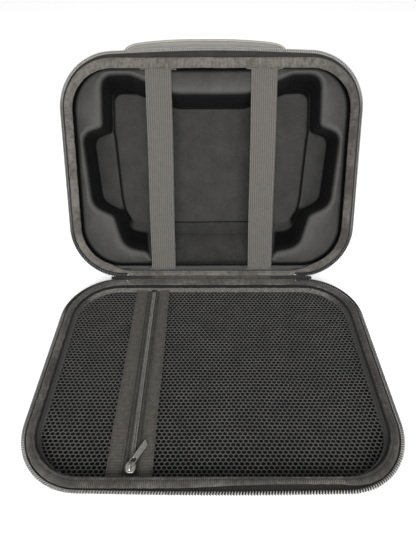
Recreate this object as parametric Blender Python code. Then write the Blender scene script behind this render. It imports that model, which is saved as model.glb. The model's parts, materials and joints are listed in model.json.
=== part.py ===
"""Semi-rigid zipped carry case for a golf launch monitor, lying open.

The base half lies flat and holds a zipped mesh pocket.  The lid half stands open on its own
lower back edge and holds the moulded recess for the instrument and two elastic straps.
Both halves are modelled as trays that open upwards: x to the right, y across, and depth below
the rim plane (the parting plane of the zip).  Lengths are in millimetres until a mesh is made.
"""
import math

import bmesh
import bpy
from mathutils import Vector

# ---------------------------------------------------------------- driving dimensions (mm, degrees)
HALF_WIDTH = 145.0        # over the zip coil
HALF_DEPTH = 108.0
CORNER_RADIUS = 52.0
OPEN_ANGLE = 118.0        # lid from closed to open
GAP = 0.35                # between neighbouring pieces

LID_DEPTH = 68.0          # rim plane to the lid's outer face
LID_WALL_BOTTOM = 57.0    # depth at which the lid wall turns into its rounded edge
LID_EDGE_RADIUS = 11.0
BASE_EDGE_RADIUS = 10.0
WALL_TOP_INSET = 5.0      # shell wall behind the zip line, at its rim
LID_WALL_BOTTOM_INSET = 7.0
BASE_WALL_BOTTOM_INSET = 6.0
LINING_THICK = 0.8
SHELL_RIM_DEPTH = 3.1     # shell edge below the rim plane
LID_SHELL_THICK = 4.0
BASE_SHELL_THICK = 3.5
SHELL_LIP_INSET = 9.3     # inner side of both shells at their rim

BAND_DEPTHS = (0.35, 1.65)          # grosgrain binding, top and underside
TAPE_DEPTHS = (2.0, 2.7)            # zip tape under the binding
BAND_OUTER_INSET = 4.8
BAND_HINGE_INSET = 1.5              # the binding comes closer to the hinge line there
LID_BAND_INNER_INSET = 10.5
BASE_BAND_INNER_INSET = 10.6
LID_FRONT_SHIFT = 3.0               # the binding lies further in along the lid's front
BASE_FRONT_SHIFT = 1.0

HINGE_HALF = 62.0         # half length of the fabric hinge
HINGE_FLAP_INSETS = (3.2, 4.6)
HINGE_FLAP_DEPTHS = (2.0, 11.0)
NEAR_BAND_ENDS = (85.8, 88.0)       # the binding leaves the hinge line between these
TAB_SPAN = (66.0, 71.8)   # fabric tab over the end of the zip, along x
TAB_HALF_WIDTH = 4.0
TAB_HEIGHTS = (2.0, 5.0)  # out from the hinge line
ZIP_END = 88.5            # the open coils start here

# Sections across the zip: inset from the zip line and depth below the rim plane.
ZIP_TAPE_SECTION = ((3.7, TAPE_DEPTHS[0]), (8.8, TAPE_DEPTHS[0]),
                    (8.8, TAPE_DEPTHS[1]), (3.7, TAPE_DEPTHS[1]))
ZIP_COIL_SECTION = ((0.0, 1.2), (0.9, 0.2), (2.5, 0.2), (3.3, 1.2), (3.3, 3.4), (0.0, 3.4))
MESH_TAPE_SECTION = ((9.9, 2.05), (11.4, 2.05), (13.1, 8.8), (11.7, 8.8))

# Sliders: length, width, body thickness, crown height.  Pullers: length, width, thickness,
# width and length of the ring around the crown.
MAIN_SLIDER = (15.0, 11.0, 2.8, 3.0)
MAIN_PULLER = (18.0, 7.0, 1.2, 3.4, 8.2)
MAIN_SLIDER_X = 79.9
MAIN_SLIDER_HEIGHT = 3.4  # out from the hinge line
MAIN_PIN_HEIGHT = 3.75    # above the slider's underside
POCKET_SLIDER = (8.4, 7.8, 1.8, 2.9)
POCKET_PULLER = (22.0, 4.8, 1.0, 3.2, 5.6)

STRAP_CENTRES = {"strap_left": -49.8, "strap_right": 50.3}
STRAP_WIDTH = 24.6
STRAP_DEPTHS = (3.1, 4.2)

FLANGE_DEPTH = 8.0        # tray flange around the recess
SHELF_DEPTH = 45.0        # the two side shelves of the recess
FLOOR_DEPTH = 52.0        # floor on which the instrument lies
TRAY_THICK = 3.5
TRAY_INSET = 10.6

MESH_DEPTHS = (8.0, 8.6)
MESH_INSET = 13.6
MESH_EDGES = (-8.5, 8.0)  # inner edges of the mesh panels, from the pocket zip
POCKET_ZIP_X = -58.7      # centre of the pocket zip
POCKET_TAPES = {"pocket_zip_tape_left": (-12.0, -0.25), "pocket_zip_tape_right": (0.25, 11.0)}
POCKET_TAPE_DEPTHS = (7.1, 7.6)
POCKET_BINDINGS = {"pocket_binding_left": (-17.8, -6.4), "pocket_binding_right": (6.2, 15.6)}
POCKET_BINDING_DEPTHS = (6.0, 6.7)
POCKET_COILS = {"pocket_coil_left": (-1.7, -0.15), "pocket_coil_right": (0.15, 1.7)}
POCKET_COIL_DEPTHS = (5.5, 6.75)
POCKET_STOP_HALF_WIDTH = 2.1
POCKET_STOP_DEPTHS = (5.3, 6.75)
POCKET_STOP_RUN = (0.2, 1.5)        # from the end of the pocket zip
POCKET_COIL_END = 1.9
POCKET_SLIDER_Y = -88.7
POCKET_SLIDER_DEPTH = 5.1           # its underside
POCKET_PIN = (1.3, 0.0, 2.75)       # puller pin, from the middle of the slider's underside
POCKET_PULLER_TWIST = 28.0          # from the zip's direction
POCKET_PULLER_DROOP = 6.0

HANDLE_CENTRE_X = -5.0
HANDLE_DEPTHS = (18.0, 46.0)        # webbing width, measured behind the rim plane
HANDLE_THICK = 3.4
HANDLE_SEAT = 2 * HALF_DEPTH - 5.2  # outer face of the lid's front wall, with its gap
ANCHOR_THICK = 2.0
ANCHOR_LENGTH = 21.0
ANCHOR_MARGIN = 2.0       # the anchors are wider than the webbing by this at each side
HANDLE_RISE = ((84.0, 0.0), (82.2, 0.9), (80.6, 3.6), (77.5, 6.8), (72.0, 9.2), (62.0, 11.2),
               (46.0, 12.8), (24.0, 13.8), (0.0, 14.0))

SHELL_GREY = (0.055, 0.055, 0.058)
TRAY_GREY = (0.05, 0.05, 0.052)
BAND_GREY = (0.19, 0.18, 0.165)
LINING_BLACK = (0.012, 0.012, 0.013)
TAPE_BLACK = (0.02, 0.02, 0.022)
COIL_GREY = (0.12, 0.12, 0.12)
MESH_GREY = (0.05, 0.05, 0.05)
ELASTIC_GREY = (0.1, 0.097, 0.09)
WEBBING_GREY = (0.14, 0.14, 0.14)
GUNMETAL = (0.09, 0.09, 0.095)

# The lid's round lower back edge rests on the table, which settles how tall the base is.
TILT = 180.0 - OPEN_ANGLE
EDGE_CENTRE_INSET = LID_WALL_BOTTOM_INSET + LID_EDGE_RADIUS
RIM_HEIGHT = (LID_WALL_BOTTOM * math.cos(math.radians(TILT))
              - EDGE_CENTRE_INSET * math.sin(math.radians(TILT)) + LID_EDGE_RADIUS)
EDGE_ANGLES = (0.0, 90.0 - TILT, 59.0, 90.0)

# Recess outlines, right half from the bottom centre to the top centre: x, y from the hinge
# line, corner radius, segments in the corner.
RECESS_MOUTH = ((62.0, 15.0, 6, 2), (71.5, 25.5, 5, 2), (100.5, 26.0, 25, 5), (102.0, 60.0, 7, 2),
                (125.0, 70.5, 15, 4), (126.0, 142.5, 8, 3), (108.3, 149.5, 5, 2),
                (108.5, 196.5, 20, 5), (84.0, 196.0, 12, 2), (40.0, 179.0, 40, 3))
RECESS_SHELF_EDGE = ((58.0, 40.0, 5, 2), (74.0, 40.0, 5, 2), (98.0, 40.5, 13, 5),
                     (101.0, 61.0, 6, 2), (123.0, 72.0, 14, 4), (124.2, 141.0, 7, 3),
                     (107.0, 148.0, 5, 2), (107.2, 190.0, 18, 5), (84.0, 189.5, 10, 2),
                     (40.0, 172.5, 38, 3))
RECESS_STEP = ((58.0, 40.7, 5, 2), (74.0, 40.7, 5, 2), (96.5, 41.2, 12, 5),
               (97.8, 61.0, 6, 2), (99.2, 78.0, 10, 4), (104.5, 140.0, 10, 3),
               (106.2, 149.0, 6, 2), (106.4, 189.4, 18, 5), (84.0, 188.9, 10, 2),
               (40.0, 171.9, 38, 3))
RECESS_FLOOR = ((57.0, 47.0, 4, 2), (74.0, 47.0, 4, 2), (94.0, 47.0, 11, 5),
                (96.5, 61.0, 6, 2), (98.0, 78.0, 10, 4), (103.2, 140.0, 10, 3),
                (105.0, 149.0, 6, 2), (105.3, 184.0, 15, 5), (84.0, 183.5, 9, 2),
                (40.0, 170.5, 36, 3))
RECESS_CENTRE_Y = 105.0


# ------------------------------------------------------------------------------- mesh helpers
def make_object(name, mesh_builder, parent, colour, roughness, metallic=0.0, smooth=30.0):
    """A named object from a bmesh in millimetres, with its own material."""
    bm = bmesh.new()
    mesh_builder(bm)
    bmesh.ops.recalc_face_normals(bm, faces=bm.faces)
    bmesh.ops.scale(bm, vec=Vector((0.001, 0.001, 0.001)), verts=bm.verts)
    mesh = bpy.data.meshes.new(name)
    bm.to_mesh(mesh)
    bm.free()
    mesh.shade_smooth()
    mesh.set_sharp_from_angle(angle=math.radians(smooth))
    material = bpy.data.materials.new(name)
    material.use_nodes = True
    shader = material.node_tree.nodes["Principled BSDF"]
    shader.inputs["Base Color"].default_value = (*colour, 1.0)
    shader.inputs["Roughness"].default_value = roughness
    shader.inputs["Metallic"].default_value = metallic
    mesh.materials.append(material)
    piece = bpy.data.objects.new(name, mesh)
    bpy.context.scene.collection.objects.link(piece)
    piece.parent = parent
    return piece


def make_empty(name, place, turn=(0.0, 0.0, 0.0), parent=None):
    """An empty at a place in millimetres, turned by angles in degrees."""
    empty = bpy.data.objects.new(name, None)
    bpy.context.scene.collection.objects.link(empty)
    empty.location = Vector(place) * 0.001
    empty.rotation_euler = [math.radians(angle) for angle in turn]
    empty.parent = parent
    return empty


def loft(bm, rings, wrap=False):
    """Skin between loops of equal length; the end loops are filled unless the skin wraps."""
    loops = [[bm.verts.new(point) for point in ring] for ring in rings]
    count = len(loops[0])
    pairs = list(zip(loops, loops[1:]))
    if wrap:
        pairs.append((loops[-1], loops[0]))
    for near, far in pairs:
        for i in range(count):
            j = (i + 1) % count
            bm.faces.new((near[i], near[j], far[j], far[i]))
    if not wrap:
        bm.faces.new(reversed(loops[0]))
        bm.faces.new(loops[-1])


def plate(bm, outline, z_low, z_high):
    """A flat plate with a given outline."""
    loft(bm, [[(x, y, z_low) for x, y in outline], [(x, y, z_high) for x, y in outline]])


def box(bm, x_span, y_span, z_span):
    """A box from its spans."""
    outline = [(x_span[0], y_span[0]), (x_span[1], y_span[0]),
               (x_span[1], y_span[1]), (x_span[0], y_span[1])]
    plate(bm, outline, *z_span)


# ------------------------------------------------------------------------------ case outlines
def corner_arc(quadrant, inset, steps, front_shift=0.0):
    """One rounded corner of the case, anticlockwise; quadrants 2 and 3 are at the front."""
    side = 1 if quadrant in (0, 3) else -1
    end = 1 if quadrant in (0, 1) else -1
    centre_x = side * (HALF_WIDTH - CORNER_RADIUS)
    centre_y = end * (HALF_DEPTH - CORNER_RADIUS) + (front_shift if end < 0 else 0.0)
    radius = CORNER_RADIUS - inset
    angles = [math.radians(90.0 * (quadrant + step / steps)) for step in range(steps + 1)]
    return [(centre_x + radius * math.cos(a), centre_y + radius * math.sin(a)) for a in angles]


def case_outline(inset, steps=6):
    """Closed rounded rectangle, a given distance inside the zip line."""
    return [point for quadrant in range(4) for point in corner_arc(quadrant, inset, steps)]


def band_outline(inset, hinge_inset, front_shift, steps=6):
    """Closed outline that steps outwards along the hinge side."""
    back = HALF_DEPTH - inset
    near_hinge = HALF_DEPTH - hinge_inset
    near_end, end = NEAR_BAND_ENDS
    hinge_run = [(end, back), (near_end, near_hinge), (-near_end, near_hinge), (-end, back)]
    corners = [corner_arc(quadrant, inset, steps, front_shift) for quadrant in range(4)]
    return corners[0] + hinge_run + corners[1] + corners[2] + corners[3]


def zip_outline(inset, steps=8):
    """Open path of the zip: from the hinge side around the front and back to the hinge side."""
    back = HALF_DEPTH - inset
    corners = [point for quadrant in (1, 2, 3, 0) for point in corner_arc(quadrant, inset, steps)]
    return [(-ZIP_END, back)] + corners + [(ZIP_END, back)]


def raised(outline, depth, flip):
    """Outline at a depth below the rim plane; flip puts the hinge side at -y."""
    return [(x, flip * y, -depth) for x, y in outline]


# ------------------------------------------------------------------------- pieces of each half
def shell(bm, outer, inner, flip):
    """Moulded tray from its outer and inner wall profiles, as (inset, depth) from the rim down."""
    profile = list(reversed(outer)) + list(inner)
    loft(bm, [raised(case_outline(inset), depth, flip) for inset, depth in profile])


def wall_profile(top_inset, top_depth, centre_inset, centre_depth, radius):
    """A wall from the rim to the flat bottom, turning through a rounded edge."""
    profile = [(top_inset, top_depth)]
    for angle in EDGE_ANGLES:
        turn = math.radians(angle)
        profile.append((centre_inset - radius * math.cos(turn),
                        centre_depth + radius * math.sin(turn)))
    return profile


def binding(bm, inner_inset, front_shift, flip):
    """Flat grosgrain binding around the whole rim."""
    outer = band_outline(BAND_OUTER_INSET, BAND_HINGE_INSET, front_shift)
    inner = band_outline(inner_inset, inner_inset - 0.8, front_shift)
    top, low = BAND_DEPTHS
    loft(bm, [raised(outer, top, flip), raised(outer, low, flip),
              raised(inner, low, flip), raised(inner, top, flip)], wrap=True)


def swept_zip_piece(bm, section, flip):
    """A piece that follows the zip, from its closed section of (inset, depth) points."""
    paths = [raised(zip_outline(inset), depth, flip) for inset, depth in section]
    loft(bm, [list(ring) for ring in zip(*paths)])


# -------------------------------------------------------------------------------- recess tray
def rounded_corner(before, corner, after, radius, steps):
    """Points of a smooth curve that rounds one corner of a polygon."""
    corner = Vector(corner)
    to_before = Vector(before) - corner
    to_after = Vector(after) - corner
    half = to_before.angle(to_after) / 2
    longest = 0.46 * min(to_before.length, to_after.length)
    reach = min(max(radius / math.tan(half), 1.5), longest)
    first = corner + to_before.normalized() * reach
    last = corner + to_after.normalized() * reach
    points = []
    for step in range(steps + 1):
        t = step / steps
        points.append(tuple(first.lerp(corner, t).lerp(corner.lerp(last, t), t)))
    return points


def recess_outline(corners):
    """Closed outline, symmetrical about x = 0, from the corners of its right half."""
    mirrored = [(-x, y, radius, steps) for x, y, radius, steps in reversed(corners)]
    ring = list(corners) + mirrored
    outline = []
    for i, (x, y, radius, steps) in enumerate(ring):
        before = ring[i - 1][:2]
        after = ring[(i + 1) % len(ring)][:2]
        outline += rounded_corner(before, (x, y), after, radius, steps)
    return outline


def grown(outline, distance):
    """An anticlockwise outline moved outwards by a distance."""
    count = len(outline)
    moved = []
    for i, point in enumerate(outline):
        here = Vector(point)
        back = (here - Vector(outline[i - 1])).normalized()
        ahead = (Vector(outline[(i + 1) % count]) - here).normalized()
        normal = Vector((back.y + ahead.y, -back.x - ahead.x)).normalized()
        stretch = max(normal.dot(Vector((back.y, -back.x))), 0.7)
        moved.append(tuple(here + normal * distance / stretch))
    return moved


def case_distance(x, y, inset):
    """Signed distance to the case outline; y is measured from the hinge line."""
    radius = CORNER_RADIUS - inset
    over_x = abs(x) - (HALF_WIDTH - CORNER_RADIUS)
    over_y = abs(y - HALF_DEPTH) - (HALF_DEPTH - CORNER_RADIUS)
    outside = math.hypot(max(over_x, 0.0), max(over_y, 0.0))
    return outside + min(max(over_x, over_y), 0.0) - radius


def spread_to_wall(outline, inset):
    """Each outline point moved out from the recess centre to the case wall."""
    spread = []
    for x, y in outline:
        low, high = 1.0, 4.0
        for _ in range(30):
            scale = (low + high) / 2
            if case_distance(x * scale, RECESS_CENTRE_Y + (y - RECESS_CENTRE_Y) * scale, inset) < 0:
                low = scale
            else:
                high = scale
        spread.append((x * low, RECESS_CENTRE_Y + (y - RECESS_CENTRE_Y) * low))
    return spread


def recess_tray(bm):
    """Moulded tray: flange, recess with two side shelves, and a ramp at the hinge side."""
    mouth = recess_outline(RECESS_MOUTH)
    shelf_edge = recess_outline(RECESS_SHELF_EDGE)
    step = recess_outline(RECESS_STEP)
    floor = recess_outline(RECESS_FLOOR)
    wall = spread_to_wall(mouth, TRAY_INSET)
    back = TRAY_THICK
    levels = [(floor, FLOOR_DEPTH), (step, SHELF_DEPTH + 0.4), (shelf_edge, SHELF_DEPTH - 0.4),
              (mouth, FLANGE_DEPTH + 2.5), (grown(mouth, 2.2), FLANGE_DEPTH),
              (wall, FLANGE_DEPTH), (wall, FLANGE_DEPTH + back),
              (grown(mouth, back), FLANGE_DEPTH + back),
              (grown(shelf_edge, back), SHELF_DEPTH + back - 0.4),
              (grown(step, back), SHELF_DEPTH + back + 0.4),
              (grown(floor, back), FLOOR_DEPTH + back)]
    loft(bm, [[(x, y, -depth) for x, y in outline] for outline, depth in levels])


# --------------------------------------------------------------------------- zip hardware
def closed_edges(bm, ring):
    """Edges around a closed ring of vertices, made where they are missing."""
    edges = []
    for i, vert in enumerate(ring):
        pair = (vert, ring[(i + 1) % len(ring)])
        edges.append(bm.edges.get(pair) or bm.edges.new(pair))
    return edges


def slider_body(bm, length, width, thick, crown):
    """Zip slider along x: tapered body with a crown whose two posts carry a bar."""
    half = length / 2
    sides = ((-half, 0.28), (-0.38 * length, 0.42), (0.1 * length, 0.5), (0.4 * length, 0.5),
             (half, 0.36))
    outline = [(x, -share * width) for x, share in sides]
    outline += [(x, share * width) for x, share in reversed(sides)]
    low = [bm.verts.new((x, y, 0.0)) for x, y in outline]
    high = [bm.verts.new((x, y, thick)) for x, y in outline]
    for i in range(len(outline)):
        j = (i + 1) % len(outline)
        bm.faces.new((low[i], low[j], high[j], high[i]))
    bm.faces.new(list(reversed(low)))

    reach = 0.36 * length
    post = 0.1 * length
    half_bar = 0.08 * width
    top = thick + crown
    bar_low = top - 1.1
    profile = [(-reach, thick), (-reach, top), (reach, top), (reach, thick),
               (reach - post, thick), (reach - post, bar_low),
               (-reach + post, bar_low), (-reach + post, thick)]
    near = [bm.verts.new((x, -half_bar, z)) for x, z in profile]
    far = [bm.verts.new((x, half_bar, z)) for x, z in profile]
    for i in (0, 1, 2, 4, 5, 6):
        bm.faces.new((near[i], near[i + 1], far[i + 1], far[i]))
    for side in (near, far):
        for corners in ((0, 1, 6, 7), (1, 2, 5, 6), (2, 3, 4, 5)):
            bm.faces.new([side[corner] for corner in corners])

    top_edges = closed_edges(bm, high)
    top_edges += closed_edges(bm, (near[7], near[0], far[0], far[7]))
    top_edges += closed_edges(bm, (near[3], near[4], far[4], far[3]))
    bmesh.ops.triangle_fill(bm, use_beauty=True, edges=top_edges)


def puller(bm, length, width, thick, ring_width, ring_length):
    """Zip puller along x from its pin at the origin: a ring around the crown, then a tab."""
    pin = 0.45
    half = width / 2
    tip = 0.36 * width
    outer = [(-pin, -half), (length - 1.5, -half), (length, -tip), (length, tip),
             (length - 1.5, half), (-pin, half)]
    inner = [(pin, -ring_width / 2), (ring_length, -ring_width / 2),
             (ring_length, ring_width / 2), (pin, ring_width / 2)]
    sheets = []
    for z in (-thick / 2, thick / 2):
        rings = [[bm.verts.new((x, y, z)) for x, y in ring] for ring in (outer, inner)]
        edges = closed_edges(bm, rings[0]) + closed_edges(bm, rings[1])
        bmesh.ops.triangle_fill(bm, use_beauty=True, edges=edges)
        sheets.append(rings)
    for low, high in zip(*sheets):
        for i in range(len(low)):
            j = (i + 1) % len(low)
            bm.faces.new((low[i], low[j], high[j], high[i]))


# ----------------------------------------------------------------------------------- the base
def make_base():
    """Lower half with its mesh pocket; its underside is the origin plane."""
    base = make_empty("base_frame", (0.0, 0.0, RIM_HEIGHT))
    round_depth = RIM_HEIGHT - BASE_EDGE_RADIUS
    round_inset = BASE_WALL_BOTTOM_INSET + BASE_EDGE_RADIUS
    outer = wall_profile(WALL_TOP_INSET, SHELL_RIM_DEPTH, round_inset, round_depth,
                         BASE_EDGE_RADIUS)
    inner_radius = BASE_EDGE_RADIUS - BASE_SHELL_THICK
    inner = wall_profile(SHELL_LIP_INSET, SHELL_RIM_DEPTH, round_inset, round_depth, inner_radius)
    make_object("base_shell", lambda bm: shell(bm, outer, inner, 1), base, SHELL_GREY, 0.85)

    skin_out = inner_radius - GAP
    skin_in = skin_out - LINING_THICK
    lining_top = MESH_DEPTHS[1] + 1.0
    lining_outer = wall_profile(round_inset - skin_out, lining_top, round_inset, round_depth,
                                skin_out)
    lining_inner = wall_profile(round_inset - skin_in, lining_top, round_inset, round_depth,
                                skin_in)
    make_object("base_lining", lambda bm: shell(bm, lining_outer, lining_inner, 1), base,
                LINING_BLACK, 0.9)

    make_object("base_zip_tape", lambda bm: swept_zip_piece(bm, ZIP_TAPE_SECTION, 1), base,
                TAPE_BLACK, 0.8)
    make_object("base_zip_coil", lambda bm: swept_zip_piece(bm, ZIP_COIL_SECTION, 1), base,
                COIL_GREY, 0.45)
    make_object("base_binding",
                lambda bm: binding(bm, BASE_BAND_INNER_INSET, BASE_FRONT_SHIFT, 1), base,
                BAND_GREY, 0.8)
    make_object("base_hinge_flap", lambda bm: hinge_flap(bm, 1), base, SHELL_GREY, 0.85)
    make_object("mesh_edge_tape", mesh_edge_tape, base, BAND_GREY, 0.85)
    make_pocket(base)


def hinge_flap(bm, flip):
    """Half of the fabric hinge: a strip sewn to the outside of the shell wall."""
    faces_y = sorted(flip * (HALF_DEPTH - inset) for inset in HINGE_FLAP_INSETS)
    top, low = HINGE_FLAP_DEPTHS
    box(bm, (-HINGE_HALF, HINGE_HALF), faces_y, (-low, -top))


def mesh_edge_tape(bm):
    """Sloping tape ring that carries the pocket mesh inside the rim."""
    loft(bm, [raised(case_outline(inset), depth, 1) for inset, depth in MESH_TAPE_SECTION],
         wrap=True)


def pocket_strip(name, parent, across, run, depths, colour, roughness, metallic=0.0):
    """A straight strip of the pocket zip; across is measured from the zip's centre."""
    span = (POCKET_ZIP_X + across[0], POCKET_ZIP_X + across[1])
    heights = (-depths[1], -depths[0])
    make_object(name, lambda bm: box(bm, span, run, heights), parent, colour, roughness, metallic)


def make_pocket(base):
    """Mesh panels, the pocket zip and its folded bindings."""
    end = HALF_DEPTH - MESH_INSET
    arcs = [corner_arc(quadrant, MESH_INSET, 6) for quadrant in range(4)]
    left_edge, right_edge = (POCKET_ZIP_X + offset for offset in MESH_EDGES)
    left = [(left_edge, end)] + arcs[1] + arcs[2] + [(left_edge, -end)]
    right = [(right_edge, -end)] + arcs[3] + arcs[0] + [(right_edge, end)]
    low, high = -MESH_DEPTHS[1], -MESH_DEPTHS[0]
    for name, outline in (("mesh_panel_left", left), ("mesh_panel_right", right)):
        make_object(name, lambda bm, o=outline: plate(bm, o, low, high), base, MESH_GREY, 0.8)

    run = (-end, end)
    for name, across in POCKET_TAPES.items():
        pocket_strip(name, base, across, run, POCKET_TAPE_DEPTHS, TAPE_BLACK, 0.8)
    for name, across in POCKET_BINDINGS.items():
        pocket_strip(name, base, across, run, POCKET_BINDING_DEPTHS, BAND_GREY, 0.8)
    coil_run = (-end + POCKET_COIL_END, end - POCKET_COIL_END)
    for name, across in POCKET_COILS.items():
        pocket_strip(name, base, across, coil_run, POCKET_COIL_DEPTHS, COIL_GREY, 0.4)
    stop = (-POCKET_STOP_HALF_WIDTH, POCKET_STOP_HALF_WIDTH)
    near, far = POCKET_STOP_RUN
    pocket_strip("pocket_front_stop", base, stop, (-end + near, -end + far), POCKET_STOP_DEPTHS,
                 GUNMETAL, 0.3, 1.0)
    pocket_strip("pocket_back_stop", base, stop, (end - far, end - near), POCKET_STOP_DEPTHS,
                 GUNMETAL, 0.3, 1.0)

    carriage = make_empty("pocket_slider_slide",
                          (POCKET_ZIP_X, POCKET_SLIDER_Y, -POCKET_SLIDER_DEPTH),
                          (0.0, 0.0, 90.0), base)
    make_object("pocket_slider", lambda bm: slider_body(bm, *POCKET_SLIDER), carriage, GUNMETAL,
                0.3, 1.0)
    pivot = make_empty("pocket_puller_swing", POCKET_PIN,
                       (0.0, POCKET_PULLER_DROOP, -POCKET_PULLER_TWIST), carriage)
    make_object("pocket_puller", lambda bm: puller(bm, *POCKET_PULLER), pivot, GUNMETAL, 0.3, 1.0)


# ------------------------------------------------------------------------------------ the lid
def make_lid():
    """Upper half, modelled as an upturned tray and tilted open about the hinge line."""
    hinge = make_empty("lid_hinge", (0.0, HALF_DEPTH, RIM_HEIGHT), (TILT, 0.0, 0.0))
    tray_frame = make_empty("lid_frame", (0.0, HALF_DEPTH, 0.0), parent=hinge)
    outer = wall_profile(WALL_TOP_INSET, SHELL_RIM_DEPTH, EDGE_CENTRE_INSET, LID_WALL_BOTTOM,
                         LID_EDGE_RADIUS)
    inner = wall_profile(SHELL_LIP_INSET, SHELL_RIM_DEPTH, EDGE_CENTRE_INSET, LID_WALL_BOTTOM,
                         LID_EDGE_RADIUS - LID_SHELL_THICK)
    make_object("lid_shell", lambda bm: shell(bm, outer, inner, -1), tray_frame, SHELL_GREY, 0.85)
    make_object("recess_tray", recess_tray, hinge, TRAY_GREY, 0.9)
    make_object("lid_zip_tape", lambda bm: swept_zip_piece(bm, ZIP_TAPE_SECTION, -1), tray_frame,
                TAPE_BLACK, 0.8)
    make_object("lid_zip_coil", lambda bm: swept_zip_piece(bm, ZIP_COIL_SECTION, -1), tray_frame,
                COIL_GREY, 0.45)
    make_object("lid_binding",
                lambda bm: binding(bm, LID_BAND_INNER_INSET, LID_FRONT_SHIFT, -1), tray_frame,
                BAND_GREY, 0.8)
    make_object("lid_hinge_flap", lambda bm: hinge_flap(bm, -1), tray_frame, SHELL_GREY, 0.85)

    strap_run = (SHELL_LIP_INSET + 0.6, 2 * HALF_DEPTH - SHELL_LIP_INSET - 0.6)
    depths = (-STRAP_DEPTHS[1], -STRAP_DEPTHS[0])
    for name, centre in STRAP_CENTRES.items():
        span = (centre - STRAP_WIDTH / 2, centre + STRAP_WIDTH / 2)
        make_object(name, lambda bm, s=span: box(bm, s, strap_run, depths), hinge,
                    ELASTIC_GREY, 0.8)
    make_handle(hinge)


def handle_webbing(bm):
    """Arched webbing, from one sewn end to the other."""
    base_line = HANDLE_SEAT + ANCHOR_THICK + GAP + HANDLE_THICK / 2
    right = [(x, base_line + rise) for x, rise in HANDLE_RISE]
    left = [(-x, y) for x, y in reversed(right[:-1])]
    middle = right + left
    path = [Vector(point) for point in reversed(middle)]
    sides = []
    for i, here in enumerate(path):
        ahead = path[min(i + 1, len(path) - 1)]
        behind = path[max(i - 1, 0)]
        along = (ahead - behind).normalized()
        across = Vector((-along.y, along.x)) * HANDLE_THICK / 2
        sides.append((here + across, here - across))
    rings = []
    for upper, lower in sides:
        rings.append([(HANDLE_CENTRE_X + upper.x, upper.y, -HANDLE_DEPTHS[0]),
                      (HANDLE_CENTRE_X + upper.x, upper.y, -HANDLE_DEPTHS[1]),
                      (HANDLE_CENTRE_X + lower.x, lower.y, -HANDLE_DEPTHS[1]),
                      (HANDLE_CENTRE_X + lower.x, lower.y, -HANDLE_DEPTHS[0])])
    loft(bm, rings)


def make_handle(hinge):
    """Carry handle on the outside of the lid's front wall."""
    for name, side in (("handle_anchor_left", -1), ("handle_anchor_right", 1)):
        centre = HANDLE_CENTRE_X + side * (HANDLE_RISE[0][0] - 0.38 * ANCHOR_LENGTH)
        span = (centre - ANCHOR_LENGTH / 2, centre + ANCHOR_LENGTH / 2)
        depths = (-HANDLE_DEPTHS[1] - ANCHOR_MARGIN, -HANDLE_DEPTHS[0] + ANCHOR_MARGIN)
        faces = (HANDLE_SEAT, HANDLE_SEAT + ANCHOR_THICK)
        make_object(name, lambda bm, s=span, f=faces, d=depths: box(bm, s, f, d), hinge,
                    SHELL_GREY, 0.85)
    make_object("handle_webbing", handle_webbing, hinge, WEBBING_GREY, 0.85)


# -------------------------------------------------------------------------- main zip sliders
def make_zip_ends():
    """Tab, slider and puller at each end of the main zip; they stay in the middle of the fold."""
    tab_across = (-TAB_HALF_WIDTH, TAB_HALF_WIDTH)
    for side, word in ((-1, "left"), (1, "right")):
        fold = make_empty(f"zip_end_{word}_fold", (0.0, HALF_DEPTH, RIM_HEIGHT),
                          (-90.0 - OPEN_ANGLE / 2, 0.0, 0.0))
        tab = sorted(side * x for x in TAB_SPAN)
        make_object(f"zip_end_tab_{word}", lambda bm, t=tab: box(bm, t, tab_across, TAB_HEIGHTS),
                    fold, SHELL_GREY, 0.85)
        carriage = make_empty(f"zip_slider_{word}_slide",
                              (side * MAIN_SLIDER_X, 0.0, MAIN_SLIDER_HEIGHT),
                              (0.0, 0.0, 0.0 if side > 0 else 180.0), fold)
        make_object(f"zip_slider_{word}", lambda bm: slider_body(bm, *MAIN_SLIDER), carriage,
                    GUNMETAL, 0.35, 1.0)
        pivot = make_empty(f"zip_puller_{word}_swing", (0.0, 0.0, MAIN_PIN_HEIGHT),
                           (0.0, -90.0, 0.0), carriage)
        make_object(f"zip_puller_{word}", lambda bm: puller(bm, *MAIN_PULLER), pivot, GUNMETAL,
                    0.35, 1.0)


def main():
    for old in list(bpy.data.objects):
        bpy.data.objects.remove(old)
    make_base()
    make_lid()
    make_zip_ends()


main()
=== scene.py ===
"""Looks of the open carry case of a launch monitor, on the CAD frame."""
import json
import math

import bmesh
import bpy
import numpy as np
from mathutils import Matrix, Vector


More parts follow.
